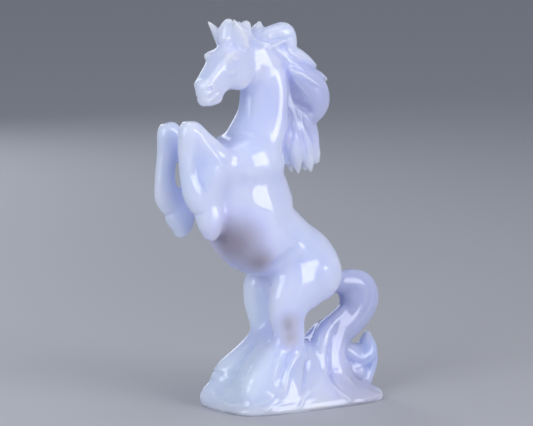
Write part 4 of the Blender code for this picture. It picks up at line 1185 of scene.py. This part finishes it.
def place_camera(scene, stage):
    """A camera that looks past the statue so that its origin lies at its pixel in the picture."""
    turn = stage.camera_turn
    back = direction(turn, stage.camera_rise)
    right = Vector((math.cos(turn), math.sin(turn), 0))
    up = back.cross(right)
    width, height = PICTURE_PIXELS
    aside = (0.5 * width - ORIGIN_PIXEL[0]) / width
    above = (ORIGIN_PIXEL[1] - 0.5 * height) / width
    target = right * aside * stage.picture_width + up * above * stage.picture_width
    data = bpy.data.cameras.new("camera")
    data.sensor_width = 36
    data.lens = data.sensor_width * stage.camera_distance / stage.picture_width
    data.clip_start = 0.01
    data.clip_end = 100
    camera = bpy.data.objects.new("camera", data)
    facing = Matrix((right, up, back)).transposed().to_4x4()
    camera.matrix_world = Matrix.Translation(target + back * stage.camera_distance) @ facing
    scene.collection.objects.link(camera)
    scene.camera = camera


class STONEHORSE_OT_stage(bpy.types.Operator):
    """Makes the floor, the lights and the camera"""

    bl_idname = "stone_horse.stage"
    bl_label = "Set the Stage"

    def execute(self, context):
        stage = context.scene.stone_horse_stage
        lay_floor(stage)
        light_surroundings(context.scene, stage)
        for name, (aside, rise, distance, size, colour) in LIGHTS.items():
            back = direction(stage.camera_turn + math.radians(aside), math.radians(rise))
            area_light(name, back, distance, size, colour, getattr(stage, name + "_power"))
        place_camera(context.scene, stage)
        context.scene.view_settings.view_transform = "Standard"
        return {"FINISHED"}


class STONEHORSE_PT_panel(bpy.types.Panel):
    """Sizes, colours and the two operators"""

    bl_idname = "STONEHORSE_PT_panel"
    bl_label = "Stone Horse"
    bl_space_type = "VIEW_3D"
    bl_region_type = "UI"
    bl_category = "Stone Horse"

    def draw(self, context):
        for title, group in GROUPS.items():
            box = self.layout.box()
            box.label(text=title)
            settings = getattr(context.scene, group[0])
            for key in settings.bl_rna.properties.keys():
                if key not in ("rna_type", "name"):
                    box.prop(settings, key)
        for operator in OPERATORS:
            self.layout.operator(operator.bl_idname)


GROUPS = {
    "Sizes": ("stone_horse_sizes", StoneHorseSizes),
    "Stone": ("stone_horse_look", StoneHorseLook),
    "Stage": ("stone_horse_stage", StoneHorseStage),
}
OPERATORS = (STONEHORSE_OT_carve, STONEHORSE_OT_stage)


def register():
    for pointer, group in GROUPS.values():
        bpy.utils.register_class(group)
        setattr(bpy.types.Scene, pointer, bpy.props.PointerProperty(type=group))
    for item in (*OPERATORS, STONEHORSE_PT_panel):
        bpy.utils.register_class(item)


def unregister():
    for item in (STONEHORSE_PT_panel, *OPERATORS):
        bpy.utils.unregister_class(item)
    for pointer, group in GROUPS.values():
        delattr(bpy.types.Scene, pointer)
        bpy.utils.unregister_class(group)


def main():
    register()
    bpy.ops.stone_horse.carve()
    bpy.ops.stone_horse.stage()


if __name__ == "__main__":
    main()
